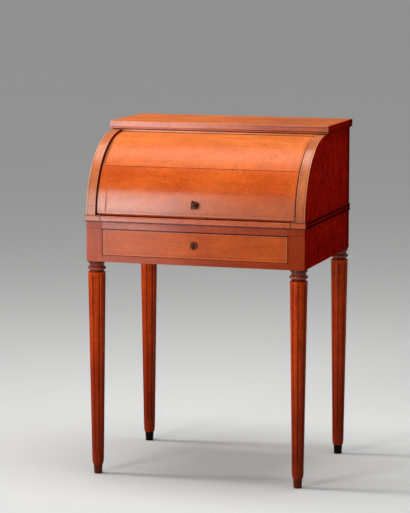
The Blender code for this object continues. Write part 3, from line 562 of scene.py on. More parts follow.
def strip_lines(colour, x, y, z):
    # Painted sheen: the upper part of the curved edge is paler and pinker.
    colour = z.rise(*STRIP_SHEEN_SPAN).mix(colour, colour.times(STRIP_PAINTED_SHEEN))
    colour = strip_strings(x, y, z).mix(colour, STRING_DARK)
    # A light line along the outer arris, partly stringing and partly a painted highlight.
    arris = x.size().near(SIDE_OUTSIDE - 0.0010, 0.0011) * 0.55
    colour = arris.mix(colour, STRING_LIGHT)
    patch = z.near(PATCH_HEIGHT, 0.0007) * x.rise(-SIDE_INSIDE + 0.01, -SIDE_INSIDE) * 0.45
    colour = patch.mix(colour, STRING_DARK)
    # Painted shade along the strip's foot, where it meets the waist.
    return z.rise(AXIS_Z + 0.0014, AXIS_Z + 0.0008).mix(colour, GAP_PAINTED_SHADE)


# Rub and painted shade: the inner face is darkened where the cylinder runs, for its rub and for the shade
# in the gap beside it.
def track_rub_and_painted_shade(colour, x, y, z):
    squared = (y - AXIS_Y) * (y - AXIS_Y) + (z - AXIS_Z) * (z - AXIS_Z)
    reach = squared.sum("SQRT", squared)
    return (reach.rise(TRACK_REACH - 0.004, TRACK_REACH + 0.004) * 0.95).mix(colour, TRACK_STAIN_AND_SHADE)


strip_veneer = timber(
    "curved_strip_veneer", STRIP_PALE, STRIP_DEEP, "z", gloss=0.20, specular=0.30,
    work=strip_lines, dull=strip_strings,
)
track_wood = timber(
    "cylinder_track_wood", INSIDE_PALE, INSIDE_DEEP, "z", gloss=0.55, specular=0.15, work=track_rub_and_painted_shade
)


def side_board(right):
    bm = bmesh.new()
    x = right * SIDE_INSIDE
    first = bm.verts.new((x, FRONT, AXIS_Z))
    bmesh.ops.spin(
        bm, geom=[first], cent=(x, AXIS_Y, AXIS_Z), axis=(-1, 0, 0),
        angle=math.pi / 2, steps=ARC_STEPS, use_merge=False,
    )
    curve = sorted(bm.verts, key=lambda vert: vert.co.z)
    curve[-1].co.z = CROWN
    corners = [bm.verts.new((x, y, z)) for y, z in ((REAR, CROWN), (REAR, SIDE_FOOT), (FRONT, SIDE_FOOT))]
    flat = bm.faces.new(curve + corners)
    grown = bmesh.ops.extrude_face_region(bm, geom=[flat])["geom"]
    far = [part for part in grown if isinstance(part, bmesh.types.BMVert)]
    bmesh.ops.translate(bm, vec=(right * (SIDE_OUTSIDE - SIDE_INSIDE), 0, 0), verts=far)
    bmesh.ops.recalc_face_normals(bm, faces=bm.faces)
    arrises = [edge for edge in bm.edges if abs(edge.verts[0].co.x - edge.verts[1].co.x) < SAME]
    round_over(bm, arrises, EASE)
    for face in bm.faces:
        if abs(face.normal.x) > FACING:
            face.material_index = 1 if face.normal.x * right > 0 else 2
        elif face.normal.y > FACING:
            face.material_index = 3
    return bm


for hand, right in (("left", -1), ("right", 1)):
    piece(
        f"quarter_round_side_{hand}", side_board(right), "case", f"upper_side_{hand}", "side_veneer",
        strip_veneer, side_upright, track_wood, back_upright,
    )

# Back of the upper case
# Four upright oak boards, planed and butted with a small chamfer along each joint, and stained
# to a dull brown. They stand in the frame of the sides, the apron and the top.
BACK_BOARDS = 4
BOARD_GAP = 0.0002
BOARD_CHAMFER = 0.0010
BOARD_PALE = (0.32, 0.160, 0.072)
BOARD_DEEP = (0.20, 0.092, 0.040)
back_oak = timber("back_board_oak", BOARD_PALE, BOARD_DEEP, "z", gloss=0.60, specular=0.25)


def board(bm, low, high):
    """A plain board between two corners."""
    made = bmesh.ops.create_cube(bm, size=1)["verts"]
    bmesh.ops.scale(bm, vec=high - low, verts=made)
    bmesh.ops.translate(bm, vec=(low + high) / 2, verts=made)
    return made


low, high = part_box("back_panel")
bm = bmesh.new()
pitch = (high.x - low.x) / BACK_BOARDS
for i in range(BACK_BOARDS):
    left = low.x + i * pitch
    board(bm, Vector((left + BOARD_GAP, low.y, low.z)), Vector((left + pitch - BOARD_GAP, high.y, high.z)))
round_over(bm, list(bm.edges), BOARD_CHAMFER)
piece("back_boards", bm, "case", "back_panel", "oak", back_oak)

# Waist moulding
# A band with a bead above and below it runs round both sides and returns a little along the front.
# Worked from solid wood with a scratch stock, mitred at the corners, glued and pinned.
WAIST_MIDDLE = 0.7408
BEAD_PROUD = 0.0042
BEAD_EASE = 0.0013
FRONT_PALE = (0.76, 0.128, 0.013)
FRONT_DEEP = (0.58, 0.080, 0.007)
BEAD_DARK = (0.060, 0.009, 0.004)
SIDE_BEAD_DARK = (0.030, 0.002, 0.001)
SLIDE_END = 0.2796


def bead_depth(vert):
    return max(abs(vert.co.x) - SIDE_OUTSIDE, FRONT - vert.co.y)


def bead_arris(edge):
    level = abs(edge.verts[0].co.z - edge.verts[1].co.z) < SAME
    return level and all(abs(bead_depth(vert) - BEAD_PROUD) < SAME for vert in edge.verts)


# Painted shade: dark lines on the top face, in the quirk and under the lower bead. The line where the slide
# meets the waist is a dark joint.
def bead_joint_and_painted_shade(colour, x, y, z):
    upper = z.rise(WAIST_MIDDLE + 0.0076, WAIST_MIDDLE + 0.0084) * 0.80
    quirk = z.near(WAIST_MIDDLE + 0.0056, 0.0007) * 0.30
    lower = z.rise(WAIST_MIDDLE - 0.0051, WAIST_MIDDLE - 0.0057) * 0.95
    joint = x.size().near(SLIDE_END, 0.0021) * 0.85
    return upper.most(quirk).most(lower).most(joint).mix(colour, BEAD_DARK)


# Painted shade on the waist's sides: the band is darkened, and more so at the beads above and below it.
def side_bead_painted_shade(colour, x, y, z):
    colour = side_painted_light(colour, x, y, z)
    upper = z.rise(WAIST_MIDDLE + 0.0016, WAIST_MIDDLE + 0.0040)
    lower = z.rise(WAIST_MIDDLE - 0.0016, WAIST_MIDDLE - 0.0040)
    return ((upper + lower) * 0.62 + 0.30).mix(colour, SIDE_BEAD_DARK)


waist_front = timber(
    "waist_moulding_wood", FRONT_PALE, FRONT_DEEP, "x", gloss=0.20, specular=0.35, work=bead_joint_and_painted_shade
)
waist_side = timber(
    "waist_side_wood", SIDE_PALE, SIDE_DEEP, "y", gloss=0.50, specular=0.0, work=side_bead_painted_shade
)
for hand, right in (("left", -1), ("right", 1)):
    node = f"waist_moulding_{hand}"
    bm = eased(node, BEAD_EASE, 4, bead_arris)
    for face in bm.faces:
        if face.calc_center_median().x * right > SIDE_OUTSIDE and abs(face.normal.y) < 0.6:
            face.material_index = 1
    piece(f"beaded_{node}", bm, "case", node, "front_veneer", waist_front, waist_side, sharp=32)

# Top board
# One wide board with a moulded edge: a flat fascia, a sunk line and a bead below it. Veneered
# lengthwise on top and screwed down from inside; a thin slip under its front keeps dust out.
TOP_OVERHANG = 0.007
TOP_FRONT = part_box("top_board")[0].y
TOP_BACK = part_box("top_board")[1].y
TOP_LOW = 0.975
TOP_QUIRK = TOP_LOW + 0.0032
SUNK_LINE = TOP_LOW + 0.0073
FASCIA_JOINT = TOP_LOW + 0.0195
FASCIA_HIGH = 0.0230
TOP_ROUND = 0.0020
SLIP_DROP = 0.0042
SLIP_CLEAR = 0.0005
TOP_PALE = (0.80, 0.180, 0.015)
TOP_DEEP = (0.62, 0.112, 0.009)
EDGE_PALE = (0.68, 0.130, 0.010)
EDGE_DEEP = (0.53, 0.086, 0.006)
EDGE_SHADE_TINT = (0.76, 0.74, 0.70)
EDGE_SHADE_SPAN = (-0.15, 0.20)
# The slip's pale colour is painted sheen.
SLIP_SHEEN_PALE = (0.98, 0.300, 0.020)
SLIP_SHEEN_DEEP = (0.86, 0.240, 0.015)
top_edge = [
    (0.0050, 0.0),
    (0.0050, 0.0024),
    (0.0014, 0.0027),
    (0.0005, 0.0031),
    (0.0001, 0.0037),
    (0.0, 0.0043),
    (0.0, 0.0052),
    (0.0003, 0.0058),
    (0.0009, 0.0063),
    (0.0013, 0.0067),
    (0.0013, 0.0078),
    (0.0004, 0.0085),
    (0.0, 0.0093),
    (0.0, FASCIA_HIGH),
    *swell(TOP_ROUND, FASCIA_HIGH, -TOP_ROUND, TOP_ROUND, 15, 90, 5),
]


def top_quirk(x, y, z):
    return z.rise(TOP_QUIRK + 0.0004, TOP_QUIRK - 0.0004)


# Painted shade: the board is darker toward the right, and the sunk line and the quirk under the bead are
# darkened; a dark line marks the fascia's joint.
def top_painted_shade(colour, x, y, z):
    right = x.rise(*EDGE_SHADE_SPAN)
    colour = right.mix(colour, colour.times(EDGE_SHADE_TINT))
    sunk = z.near(SUNK_LINE, 0.0012) * (0.15 + right * 0.70)
    joint = z.near(FASCIA_JOINT, 0.0008) * (0.15 + right * 0.50)
    return (sunk + joint + top_quirk(x, y, z) * 0.90).mix(colour, BEAD_DARK)


# Painted shade along the top of the slip, under the board.
def slip_painted_shade(colour, x, y, z):
    return (z.rise(TOP_LOW - 0.0006, TOP_LOW) * 0.90).mix(colour, BEAD_DARK)


# Painted light and shade on the board's ends, as on the sides and the edge.
def top_end_painted_light(colour, x, y, z):
    return top_painted_shade(side_painted_light(colour, x, y, z), x, y, z)


bm = bmesh.new()
rub = bm.faces.layers.float.new("rub")
middle_y = (TOP_FRONT + TOP_BACK) / 2
half_x = SIDE_OUTSIDE + TOP_OVERHANG
half_y = (TOP_BACK - TOP_FRONT) / 2
plan = [bm.verts.new((x, y, TOP_LOW)) for x, y in ((-1, -1), (-1, 1), (1, 1), (1, -1))]
cap = bm.faces.new(plan)
for step, (inset, rise) in enumerate(top_edge):
    if step:
        grown = bmesh.ops.extrude_face_region(bm, geom=[cap])["geom"]
        if step > 1:
            bm.faces.remove(cap)
        cap = next(part for part in grown if isinstance(part, bmesh.types.BMFace))
    for vert in cap.verts:
        across = math.copysign(half_x - inset, vert.co.x)
        deep = math.copysign(half_y - inset, vert.co.y if not step else vert.co.y - middle_y)
        vert.co = (across, middle_y + deep, TOP_LOW + rise)
slip = board(
    bm, Vector((SLIP_CLEAR - SIDE_INSIDE, TOP_FRONT + 0.0022, TOP_LOW - SLIP_DROP)),
    Vector((SIDE_INSIDE - SLIP_CLEAR, TOP_FRONT + 0.0110, TOP_LOW + 0.0003)),
)
bmesh.ops.recalc_face_normals(bm, faces=bm.faces)
for face in bm.faces:
    heights = [vert.co.z for vert in face.verts]
    if min(heights) > TOP_LOW + FASCIA_HIGH - 0.0001 and max(heights) - min(heights) > 0.0001:
        face[rub] = 1.0
    if abs(face.normal.x) > 0.5 and abs(face.normal.z) < 0.9:
        face.material_index = 1
    if abs(face.normal.y) > 0.3:
        face.material_index = 3 if face.verts[0] in slip else 2
top_veneer = timber("top_board_veneer", TOP_PALE, TOP_DEEP, "x", gloss=0.30, specular=0.14, work=top_painted_shade)
top_edge_wood = timber(
    "top_edge_wood", EDGE_PALE, EDGE_DEEP, "x", gloss=0.20, specular=0.48, work=top_painted_shade, dull=top_quirk
)
slip_wood = timber("top_slip_wood", SLIP_SHEEN_PALE, SLIP_SHEEN_DEEP, "x", gloss=0.22, specular=0.40, work=slip_painted_shade)
top_ends = timber("top_board_ends", SIDE_PALE, SIDE_DEEP, "y", gloss=0.50, specular=0.0, work=top_end_painted_light)
piece(
    "moulded_top_board", bm, "case", "top_board", "front_veneer",
    top_veneer, top_ends, top_edge_wood, slip_wood, sharp=5,
)

# Cylinder front
# Two curved staves glued edge to edge and veneered, with a crossband and a string line at each end
# and a light line above the lower edge. A thin lip below closes on the slide, and oak cheeks carry it
# on steel pins.
PANEL_HALF = 0.290
PANEL_RADIUS = 0.2195
PANEL_INSIDE = 0.2035
PANEL_LIFT = 0.0048
PANEL_START = math.degrees(math.asin(PANEL_LIFT / PANEL_INSIDE))
PANEL_END = 94.0
STAVE_JOINT = 38.5
JOINT_HALF = 0.043
# The upper stave's paler, pinker tone is painted sheen.
UPPER_SHEEN_PALE = (0.78, 0.160, 0.023)
UPPER_SHEEN_DEEP = (0.62, 0.110, 0.014)
CROWN_PAINTED_SHEEN = (1.04, 1.28, 1.80)
CROWN_SHEEN_SPAN = (0.925, 0.962)
STAVE_PAINTED_SHADE = (0.84, 0.92, 1.0)
STAVE_SHADE_SPAN = (0.835, 0.790)
CROSSBAND = 0.026
LOW_LINE_RISE = 0.0066
STRING_BROWN = (0.24, 0.040, 0.006)
STRIP_SHADOW_TONE = (0.20, 0.045, 0.018)
STRIP_SHADOW_FOOT = (0.884, 0.900)
STRIP_SHADOW_HEAD = (0.962, 0.940)
OUTER_FACE = (AXIS_Y - 0.208, AXIS_Y - 0.213)
HOLE_PAINTED_SHADE = (0.006, 0.003, 0.002)
KEY_RISE = 0.0325
LOCK_RISE = PANEL_START + math.degrees(KEY_RISE / PANEL_RADIUS)
LOCK_HALF = 0.0283
LOCK_FRONT = 0.0057
LOCK_TOP = 0.0116
RECESS_BELOW = 0.050
RECESS_BEHIND = 0.030
BESIDE_LOCK = (-0.034, -0.014, 0.014, 0.034)
KEYHOLE_RADIUS = 0.0032
KEYHOLE_DROP = 0.0088
KEYHOLE_HALF = 0.0013
KEYHOLE_LENGTH = 0.030
BORE_RADIUS = 0.007
BORE_RIM = 0.008
LIP_STAIN = (0.72, 0.100, 0.030)
LIP_SHADE = (0.70, 0.70, 0.70)
LIP_BREAK = LOCK_HALF + 0.001
LIP_END = PANEL_HALF - 0.0005
LIP_DEPTH = (0.0085, 0.0125)
LIP_DEPTH_AT_LOCK = (0.0010, 0.0021)
LIP_FOOT = AXIS_Z + 0.0009
LIP_HEAD = AXIS_Z + PANEL_LIFT + 0.002


def on_arc(radius, angle):
    """Y and Z at a radius and angle from the pivot; angles are counted up from the front."""
    turn = math.radians(angle)
    return AXIS_Y - radius * math.cos(turn), AXIS_Z + radius * math.sin(turn)


lock_place = Matrix.Translation((0, *on_arc(PANEL_RADIUS, LOCK_RISE))) @ Matrix.Rotation(
    -math.radians(LOCK_RISE), 4, "X"
)


def crossbanded(x, y, z):
    return x.size().rise(PANEL_HALF - CROSSBAND, PANEL_HALF - CROSSBAND + 0.0001)


def above_joint(y, z):
    return (z - AXIS_Z) - (AXIS_Y - y) * math.tan(math.radians(STAVE_JOINT))


def near_lower_edge(y, z, rise, reach):
    return (z - (AXIS_Z + PANEL_LIFT)).near(rise, reach) * y.rise(*OUTER_FACE)


def cylinder_strings(x, y, z):
    left = x.rise(*LEFT_HALF)
    below = above_joint(y, z).rise(0.002, -0.002)
    broken = x.place().times((150, 150, 150)).noise(2.0).rise(0.40, 0.58)
    chipped = 0.10 + broken * 0.75
    faded = 0.10 + below * (0.15 + left * 0.65)
    band = x.size().near(PANEL_HALF - CROSSBAND, 0.0021) * chipped * faded
    rim = (PANEL_HALF - x.size()).near(0.0062, 0.0008) * (0.60 - left * 0.30)
    return band.most(rim).most(near_lower_edge(y, z, LOW_LINE_RISE, 0.0010) * 0.40)


def strip_painted_shadow(x, y, z):
    """Painted shadow that the left side's raised edge casts on the upper stave, beside it."""
    beside = (PANEL_HALF - x.size()).rise(0.0125, 0.0045) * x.rise(*LEFT_HALF)
    return beside * z.rise(*STRIP_SHADOW_FOOT) * z.rise(*STRIP_SHADOW_HEAD) * 0.62


def bore(x, z, place):
    """The hole through the wood behind a keyhole plate, painted black for the shade inside it."""
    rise = z - place.translation.z
    return (x * x + rise * rise).rise(BORE_RIM ** 2, BORE_RADIUS ** 2)


def cylinder_lines(colour, x, y, z):
    # Painted sheen: the cylinder is paler and pinker toward the crown.
    colour = z.rise(*CROWN_SHEEN_SPAN).mix(colour, colour.times(CROWN_PAINTED_SHEEN))
    # Painted shade: the lower part of the cylinder is darker and greyer.
    colour = z.rise(*STAVE_SHADE_SPAN).mix(colour, colour.times(STAVE_PAINTED_SHADE))
    colour = strip_painted_shadow(x, y, z).mix(colour, STRIP_SHADOW_TONE)
    colour = (near_lower_edge(y, z, 0.0032, 0.0024) * 0.14).mix(colour, STRING_LIGHT)
    colour = cylinder_strings(x, y, z).mix(colour, STRING_BROWN)
    # Painted shade at the cylinder's ends, beside the strips.
    colour = ((PANEL_HALF - x.size()).rise(0.0026, 0.0020) * 0.80).mix(colour, GAP_PAINTED_SHADE)
    colour = bore(x, z, lock_place).mix(colour, HOLE_PAINTED_SHADE)
    return above_joint(y, z).near(0, 0.0009).mix(colour, JOINT_DARK)


def upper_dull(x, y, z):
    return cylinder_strings(x, y, z) + strip_painted_shadow(x, y, z)


# Painted shade: the short lip behind the lock is darkened to match the shade on the deeper lips beside it.
def lip_painted_shade(colour, x, y, z):
    at_lock = x.size().rise(LIP_BREAK + 0.0003, LIP_BREAK - 0.0003)
    return at_lock.mix(colour, colour.times(LIP_SHADE))


lower_veneer = timber(
    "lower_stave_veneer", FRONT_PALE, FRONT_DEEP, "x", gloss=0.17, specular=0.40,
    crossed=crossbanded, work=cylinder_lines, dull=cylinder_strings,
)
upper_veneer = timber(
    "upper_stave_veneer", UPPER_SHEEN_PALE, UPPER_SHEEN_DEEP, "x", gloss=0.30, specular=0.15,
    crossed=crossbanded, work=cylinder_lines, dull=upper_dull,
)
lip_wood = timber(
    "stave_lip_wood", LIP_STAIN, [c * 0.7 for c in LIP_STAIN], "x", gloss=0.55, specular=0.10, work=lip_painted_shade
)


def stave(start, end):
    bm = bmesh.new()
    ends = [bm.verts.new((-PANEL_HALF, *on_arc(radius, start))) for radius in (PANEL_INSIDE, PANEL_RADIUS)]
    edge = bm.edges.new(ends)
    bmesh.ops.spin(
        bm, geom=[*ends, edge], cent=(0, AXIS_Y, AXIS_Z), axis=(-1, 0, 0),
        angle=math.radians(end - start), steps=round(end - start), use_merge=False,
    )
    grown = bmesh.ops.extrude_face_region(bm, geom=bm.faces[:])["geom"]
    far = [part for part in grown if isinstance(part, bmesh.types.BMVert)]
    bmesh.ops.translate(bm, vec=(2 * PANEL_HALF, 0, 0), verts=far)
    bmesh.ops.recalc_face_normals(bm, faces=bm.faces)

    def outer_rim(edge):
        reaches = [math.hypot(vert.co.y - AXIS_Y, vert.co.z - AXIS_Z) for vert in edge.verts]
        outside = all(abs(reach - PANEL_RADIUS) < SAME for reach in reaches)
        return outside and edge.calc_face_angle() > 1.0

    round_over(bm, [edge for edge in bm.edges if outer_rim(edge)], EASE)
    return bm


def cut_away(bm, *tools):
    """What is left of a mesh when the tools' meshes are cut from it."""
    shapes = []
    for number, shape in enumerate((bm, *tools)):
        mesh = bpy.data.meshes.new(f"cut_{number}")
        shape.to_mesh(mesh)
        shape.free()
        shapes.append(bpy.data.objects.new(f"cut_{number}", mesh))
        bpy.context.scene.collection.objects.link(shapes[-1])
    for tool in shapes[1:]:
        modifier = shapes[0].modifiers.new("cut", "BOOLEAN")
        modifier.operation = "DIFFERENCE"
        modifier.object = tool
    graph = bpy.context.evaluated_depsgraph_get()
    left = bmesh.new()
    left.from_object(shapes[0], graph)
    for shape in shapes:
        mesh = shape.data
        bpy.data.objects.remove(shape)
        bpy.data.meshes.remove(mesh)
    return left


def keyhole_tool(place):
    bm = bmesh.new()
    bmesh.ops.create_cone(
        bm, cap_ends=True, segments=28, radius1=KEYHOLE_RADIUS, radius2=KEYHOLE_RADIUS,
        depth=KEYHOLE_LENGTH, matrix=Matrix.Rotation(math.pi / 2, 4, "X"),
    )
    slot = bmesh.new()
    reach = KEYHOLE_LENGTH / 2 - 0.0001
    board(slot, Vector((-KEYHOLE_HALF, -reach, -KEYHOLE_DROP)), Vector((KEYHOLE_HALF, reach, 0)))
    for shape in (bm, slot):
        bmesh.ops.transform(shape, matrix=place, verts=shape.verts)
    return bm, slot


# Edges beside the lock keep the long faces true where its holes are cut.
lower = stave(PANEL_START, STAVE_JOINT - JOINT_HALF)
for at in BESIDE_LOCK:
    bmesh.ops.bisect_plane(
        lower, geom=lower.verts[:] + lower.edges[:] + lower.faces[:],
        plane_co=(at, 0, 0), plane_no=(1, 0, 0),
    )
recess = bmesh.new()
board(
    recess, Vector((-LOCK_HALF, LOCK_FRONT, -RECESS_BELOW)), Vector((LOCK_HALF, RECESS_BEHIND, LOCK_TOP))
)
bmesh.ops.transform(recess, matrix=lock_place, verts=recess.verts)
lower = cut_away(lower, recess, *keyhole_tool(lock_place))
for left, right, (front, back) in (
    (-LIP_END, -LIP_BREAK, LIP_DEPTH),
    (-LIP_BREAK, LIP_BREAK, LIP_DEPTH_AT_LOCK),
    (LIP_BREAK, LIP_END, LIP_DEPTH),
):
    lip = board(
        lower, Vector((left, AXIS_Y - PANEL_RADIUS + front, LIP_FOOT)),
        Vector((right, AXIS_Y - PANEL_RADIUS + back, LIP_HEAD)),
    )
    for vert in lip:
        for face in vert.link_faces:
            face.material_index = 1
piece(
    "curved_lower_stave", lower, "cylinder", "cylinder_stave_lower", "front_veneer",
    lower_veneer, lip_wood,
)
upper = stave(STAVE_JOINT + JOINT_HALF, PANEL_END)
piece("curved_upper_stave", upper, "cylinder", "cylinder_stave_upper", "front_veneer", upper_veneer)
for hand in ("left", "right"):
    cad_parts[f"cylinder_cheek_{hand}"].material_slots[0].material = oak_lengthwise

# Pivot pins, lock cases and bolts
# Plain turned steel pins; iron lock cases let in behind the fronts, with a bolt in each.
# The iron is blackened and worn, with a brown bloom of old rust.


def metal(name, bright, dull, gloss):
    """A worn metal: bare on the high places, dull and rough in the low ones."""
    made, start, shader = shader_of(name)
    place = start.place()
    patch = place.times((160, 160, 160)).noise(4.0, 0.4).rise(0.38, 0.66)
    scratch = place.times((900, 135, 900)).noise(2.0).rise(0.45, 0.75)
    colour = (patch * 0.8).mix(bright, dull)
    rough = patch * 0.20 + scratch * 0.10 + gloss
    height = patch * -0.6 + scratch * 0.3
    bump = start.node("Bump", {}, {"Strength": 0.25, "Distance": 0.0002, "Height": height})
    feed(shader, Base_Color=colour, Roughness=rough, Normal=bump)
    shader.inputs["Metallic"].default_value = 1.0
    return made


iron = metal("blackened_iron", (0.11, 0.10, 0.095), (0.035, 0.024, 0.018), 0.34)
steel = metal("pin_steel", (0.50, 0.50, 0.51), (0.30, 0.29, 0.28), 0.28)
for hand in ("left", "right"):
    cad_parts[f"pivot_pin_{hand}"].material_slots[0].material = steel
for lock in ("cylinder", "drawer"):
    for part in ("lock_case", "bolt"):
        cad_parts[f"{lock}_{part}"].material_slots[0].material = iron

# Keyhole plates
# A thin round plate over each keyhole, slightly domed, with a rolled rim and two pins. The drawer's
# is dark iron; the cylinder's is brass gone brown.
PLATE_RADIUS = 0.0115
PLATE_THICK = 0.0012
PLATE_SEAT = 0.0003
PLATE_RIM = 0.0006
PLATE_WELD = 0.00005
DOME_RISE = 0.0003
DOME_RADII = (0.0095, 0.007, 0.0045, 0.002, 0)
PIN_RADIUS = 0.0009
PIN_SHAPE = Vector((1, 1, 0.35))
PIN_OUT = 0.0078
DRAWER_LOCK_HEIGHT = 0.67475
plate_brass = metal("dull_plate_brass", (0.13, 0.032, 0.011), (0.055, 0.014, 0.006), 0.46)
plate_iron = metal("dull_plate_iron", (0.085, 0.026, 0.012), (0.030, 0.009, 0.005), 0.46)
drawer_lock_place = Matrix.Translation((0, FRONT, DRAWER_LOCK_HEIGHT))


def keyhole_plate(place):
    """The plate is cut first and pinned after, so that the cut never meets a pin."""
    upright = place @ Matrix.Rotation(math.pi / 2, 4, "X")
    crown = PLATE_SEAT + PLATE_THICK
    profile = [
        (0, PLATE_SEAT),
        (PLATE_RADIUS - PLATE_RIM / 2, PLATE_SEAT),
        *swell(PLATE_RADIUS - PLATE_RIM, PLATE_SEAT + PLATE_RIM, PLATE_RIM, PLATE_RIM, -60, 90, 8),
        (PLATE_RADIUS - 0.0014, PLATE_SEAT + 0.0009),
        *[(radius, crown - DOME_RISE * (radius / DOME_RADII[0]) ** 2) for radius in DOME_RADII],
    ]
    bm = turned(profile, 64)
    bmesh.ops.transform(bm, matrix=upright, verts=bm.verts)
    bm = cut_away(bm, *keyhole_tool(place))
    bmesh.ops.remove_doubles(bm, verts=bm.verts, dist=PLATE_WELD)
    for side in (-1, 1):
        seat = Matrix.LocRotScale(Vector((side * PIN_OUT, 0, crown - DOME_RISE)), None, PIN_SHAPE)
        bmesh.ops.create_uvsphere(
            bm, u_segments=12, v_segments=8, radius=PIN_RADIUS, matrix=upright @ seat
        )
    return bm


piece(
    "cylinder_keyhole_plate", keyhole_plate(lock_place), "cylinder", "cylinder_escutcheon", "brass",
    plate_brass, sharp=30,
)
piece(
    "drawer_keyhole_plate", keyhole_plate(drawer_lock_place), "drawer", "drawer_escutcheon", "dark_iron",
    plate_iron, sharp=30,
)

# Key
# A forged iron key left in the cylinder lock: oval bow, turned collar, straight shank and a bit.
SHANK_RADIUS = 0.0024
BOW_MIDDLE = 0.0235
BOW_HIGH = 0.013
BOW_WIDE = 0.0105
BOW_WIRE = 0.0021
BOW_HALF_THICK = 0.0017
BIT_LOW = Vector((-0.0010, -0.0085, -0.0139))
BIT_HIGH = Vector((0.0010, -0.0016, -0.0089))
BIT_EASE = 0.0003
key_iron = metal("handled_key_iron", (0.10, 0.092, 0.088), (0.018, 0.014, 0.012), 0.26)
shank_profile = [
    (0, 0.0151),
    (SHANK_RADIUS, 0.0149),
    (SHANK_RADIUS, 0.0104),
    *swell(SHANK_RADIUS, 0.0088, 0.0009, 0.0011, 80, -80, 8),
    *swell(SHANK_RADIUS, 0.0056, 0.0016, 0.0021, 80, -80, 10),
    (SHANK_RADIUS, 0.0030),
    (SHANK_RADIUS, -0.0136),
    (SHANK_RADIUS - 0.0005, -0.0141),
    (0, -0.0141),
]
bm = turned(shank_profile, 32)
hoop = bmesh.new()
bmesh.ops.create_circle(hoop, cap_ends=False, segments=16, radius=1.0)
bmesh.ops.scale(hoop, vec=(BOW_HALF_THICK, BOW_WIRE, 1), verts=hoop.verts)
bmesh.ops.translate(hoop, vec=(0, BOW_HIGH - BOW_WIRE, 0), verts=hoop.verts)
bmesh.ops.spin(
    hoop, geom=hoop.verts[:] + hoop.edges[:], cent=(0, 0, 0), axis=(1, 0, 0),
    angle=2 * math.pi, steps=56, use_merge=True,
)
bmesh.ops.remove_doubles(hoop, verts=hoop.verts, dist=MERGE)
squeeze = (BOW_WIDE - BOW_WIRE) / (BOW_HIGH - BOW_WIRE)
bmesh.ops.scale(hoop, vec=(1, 1, squeeze), verts=hoop.verts)
bmesh.ops.translate(hoop, vec=(0, 0, BOW_MIDDLE), verts=hoop.verts)
bmesh.ops.recalc_face_normals(hoop, faces=hoop.faces)
bow_mesh = bpy.data.meshes.new("bow")
hoop.to_mesh(bow_mesh)
hoop.free()
bm.from_mesh(bow_mesh)
bpy.data.meshes.remove(bow_mesh)
bit = board(bm, BIT_LOW, BIT_HIGH)
round_over(bm, [edge for edge in bm.edges if edge.verts[0] in bit and edge.verts[1] in bit], BIT_EASE)
bmesh.ops.transform(bm, matrix=lock_place @ Matrix.Rotation(math.pi / 2, 4, "X"), verts=bm.verts)
piece("forged_key", bm, "cylinder_key", "cylinder_key", "dark_iron", key_iron, sharp=35)

# Writing slide
# A flat board that pulls out under the cylinder, with a beaded front edge and a leather panel let in.
# The leather is green skiver, blind-grained, with a fine gilt fillet round it.
BOARD_EASE = 0.0005
LEATHER_EASE = 0.0003
FILLET_INSET = 0.009
FINE_FILLET_INSET = 0.0115
LEATHER_GREEN = (0.020, 0.075, 0.034)
LEATHER_WORN = (0.060, 0.120, 0.055)
GILT = (0.58, 0.36, 0.11)
slide_veneer = timber(
    "slide_front_veneer", FRONT_PALE, FRONT_DEEP, "x", gloss=0.20, specular=0.35, work=bead_joint_and_painted_shade
)
inside_crosswise = timber("inside_wood_crosswise", INSIDE_PALE, INSIDE_DEEP, "x", gloss=0.42)
piece(
    "beaded_slide_front", eased("slide_front_rail", BEAD_EASE, 4, bead_arris), "writing_slide",
    "slide_front_rail", "front_veneer", slide_veneer, sharp=32,
)
piece(
    "slide_panel", eased("slide_board", BOARD_EASE), "writing_slide", "slide_board", "interior_wood",
    inside_crosswise,
)

leather, start, shader = shader_of("green_skiver")
place = start.place()
x, y, z = place.axes()
low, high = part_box("slide_leather")
edge = (x - low.x).least(high.x - x).least(y - low.y).least(high.y - y)
fillet = edge.near(FILLET_INSET, 0.0006) + edge.near(FINE_FILLET_INSET, 0.0003)
rubbed = place.times((22, 22, 22)).noise(4.0).rise(0.40, 0.72)
cells = start.node("TexVoronoi", {"feature": "DISTANCE_TO_EDGE"}, {"Vector": place, "Scale": 900.0})
gilt = fillet * place.times((300, 300, 300)).noise(2.0).rise(0.34, 0.50)
colour = gilt.mix(rubbed.mix(LEATHER_GREEN, LEATHER_WORN), GILT)
height = cells.rise(0.0, 0.20) - fillet * 0.6
bump = start.node("Bump", {}, {"Strength": 0.35, "Distance": 0.0002, "Height": height})
feed(shader, Base_Color=colour, Roughness=0.50 + rubbed * 0.12 - gilt * 0.18, Metallic=gilt, Normal=bump)
piece(
    "leather_panel", eased("slide_leather", LEATHER_EASE), "writing_slide", "slide_leather", "leather",
    leather,
)

# Long drawer
# A veneered front with a line of stringing let in all round, oak sides dovetailed to it, and a thin
# oak bottom slid into grooves. Its edges are eased where hands and rails have rubbed them.
DRAWER_EASE = 0.0011
LINE_INSET = 0.0100
EDGE_LINE = 0.0042
LEVEL_LINE = 0.0072
DRAWER_PALE = (0.69, 0.116, 0.012)
DRAWER_DEEP = (0.53, 0.073, 0.007)
GAP_WIDTH = 0.0026
TAIL_PITCH = 0.0235
TAIL_START = FRONT + 0.0050
TAIL_LENGTH = 0.013
LINING_EASE = 0.0006
drawer_low, drawer_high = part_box("drawer_front")


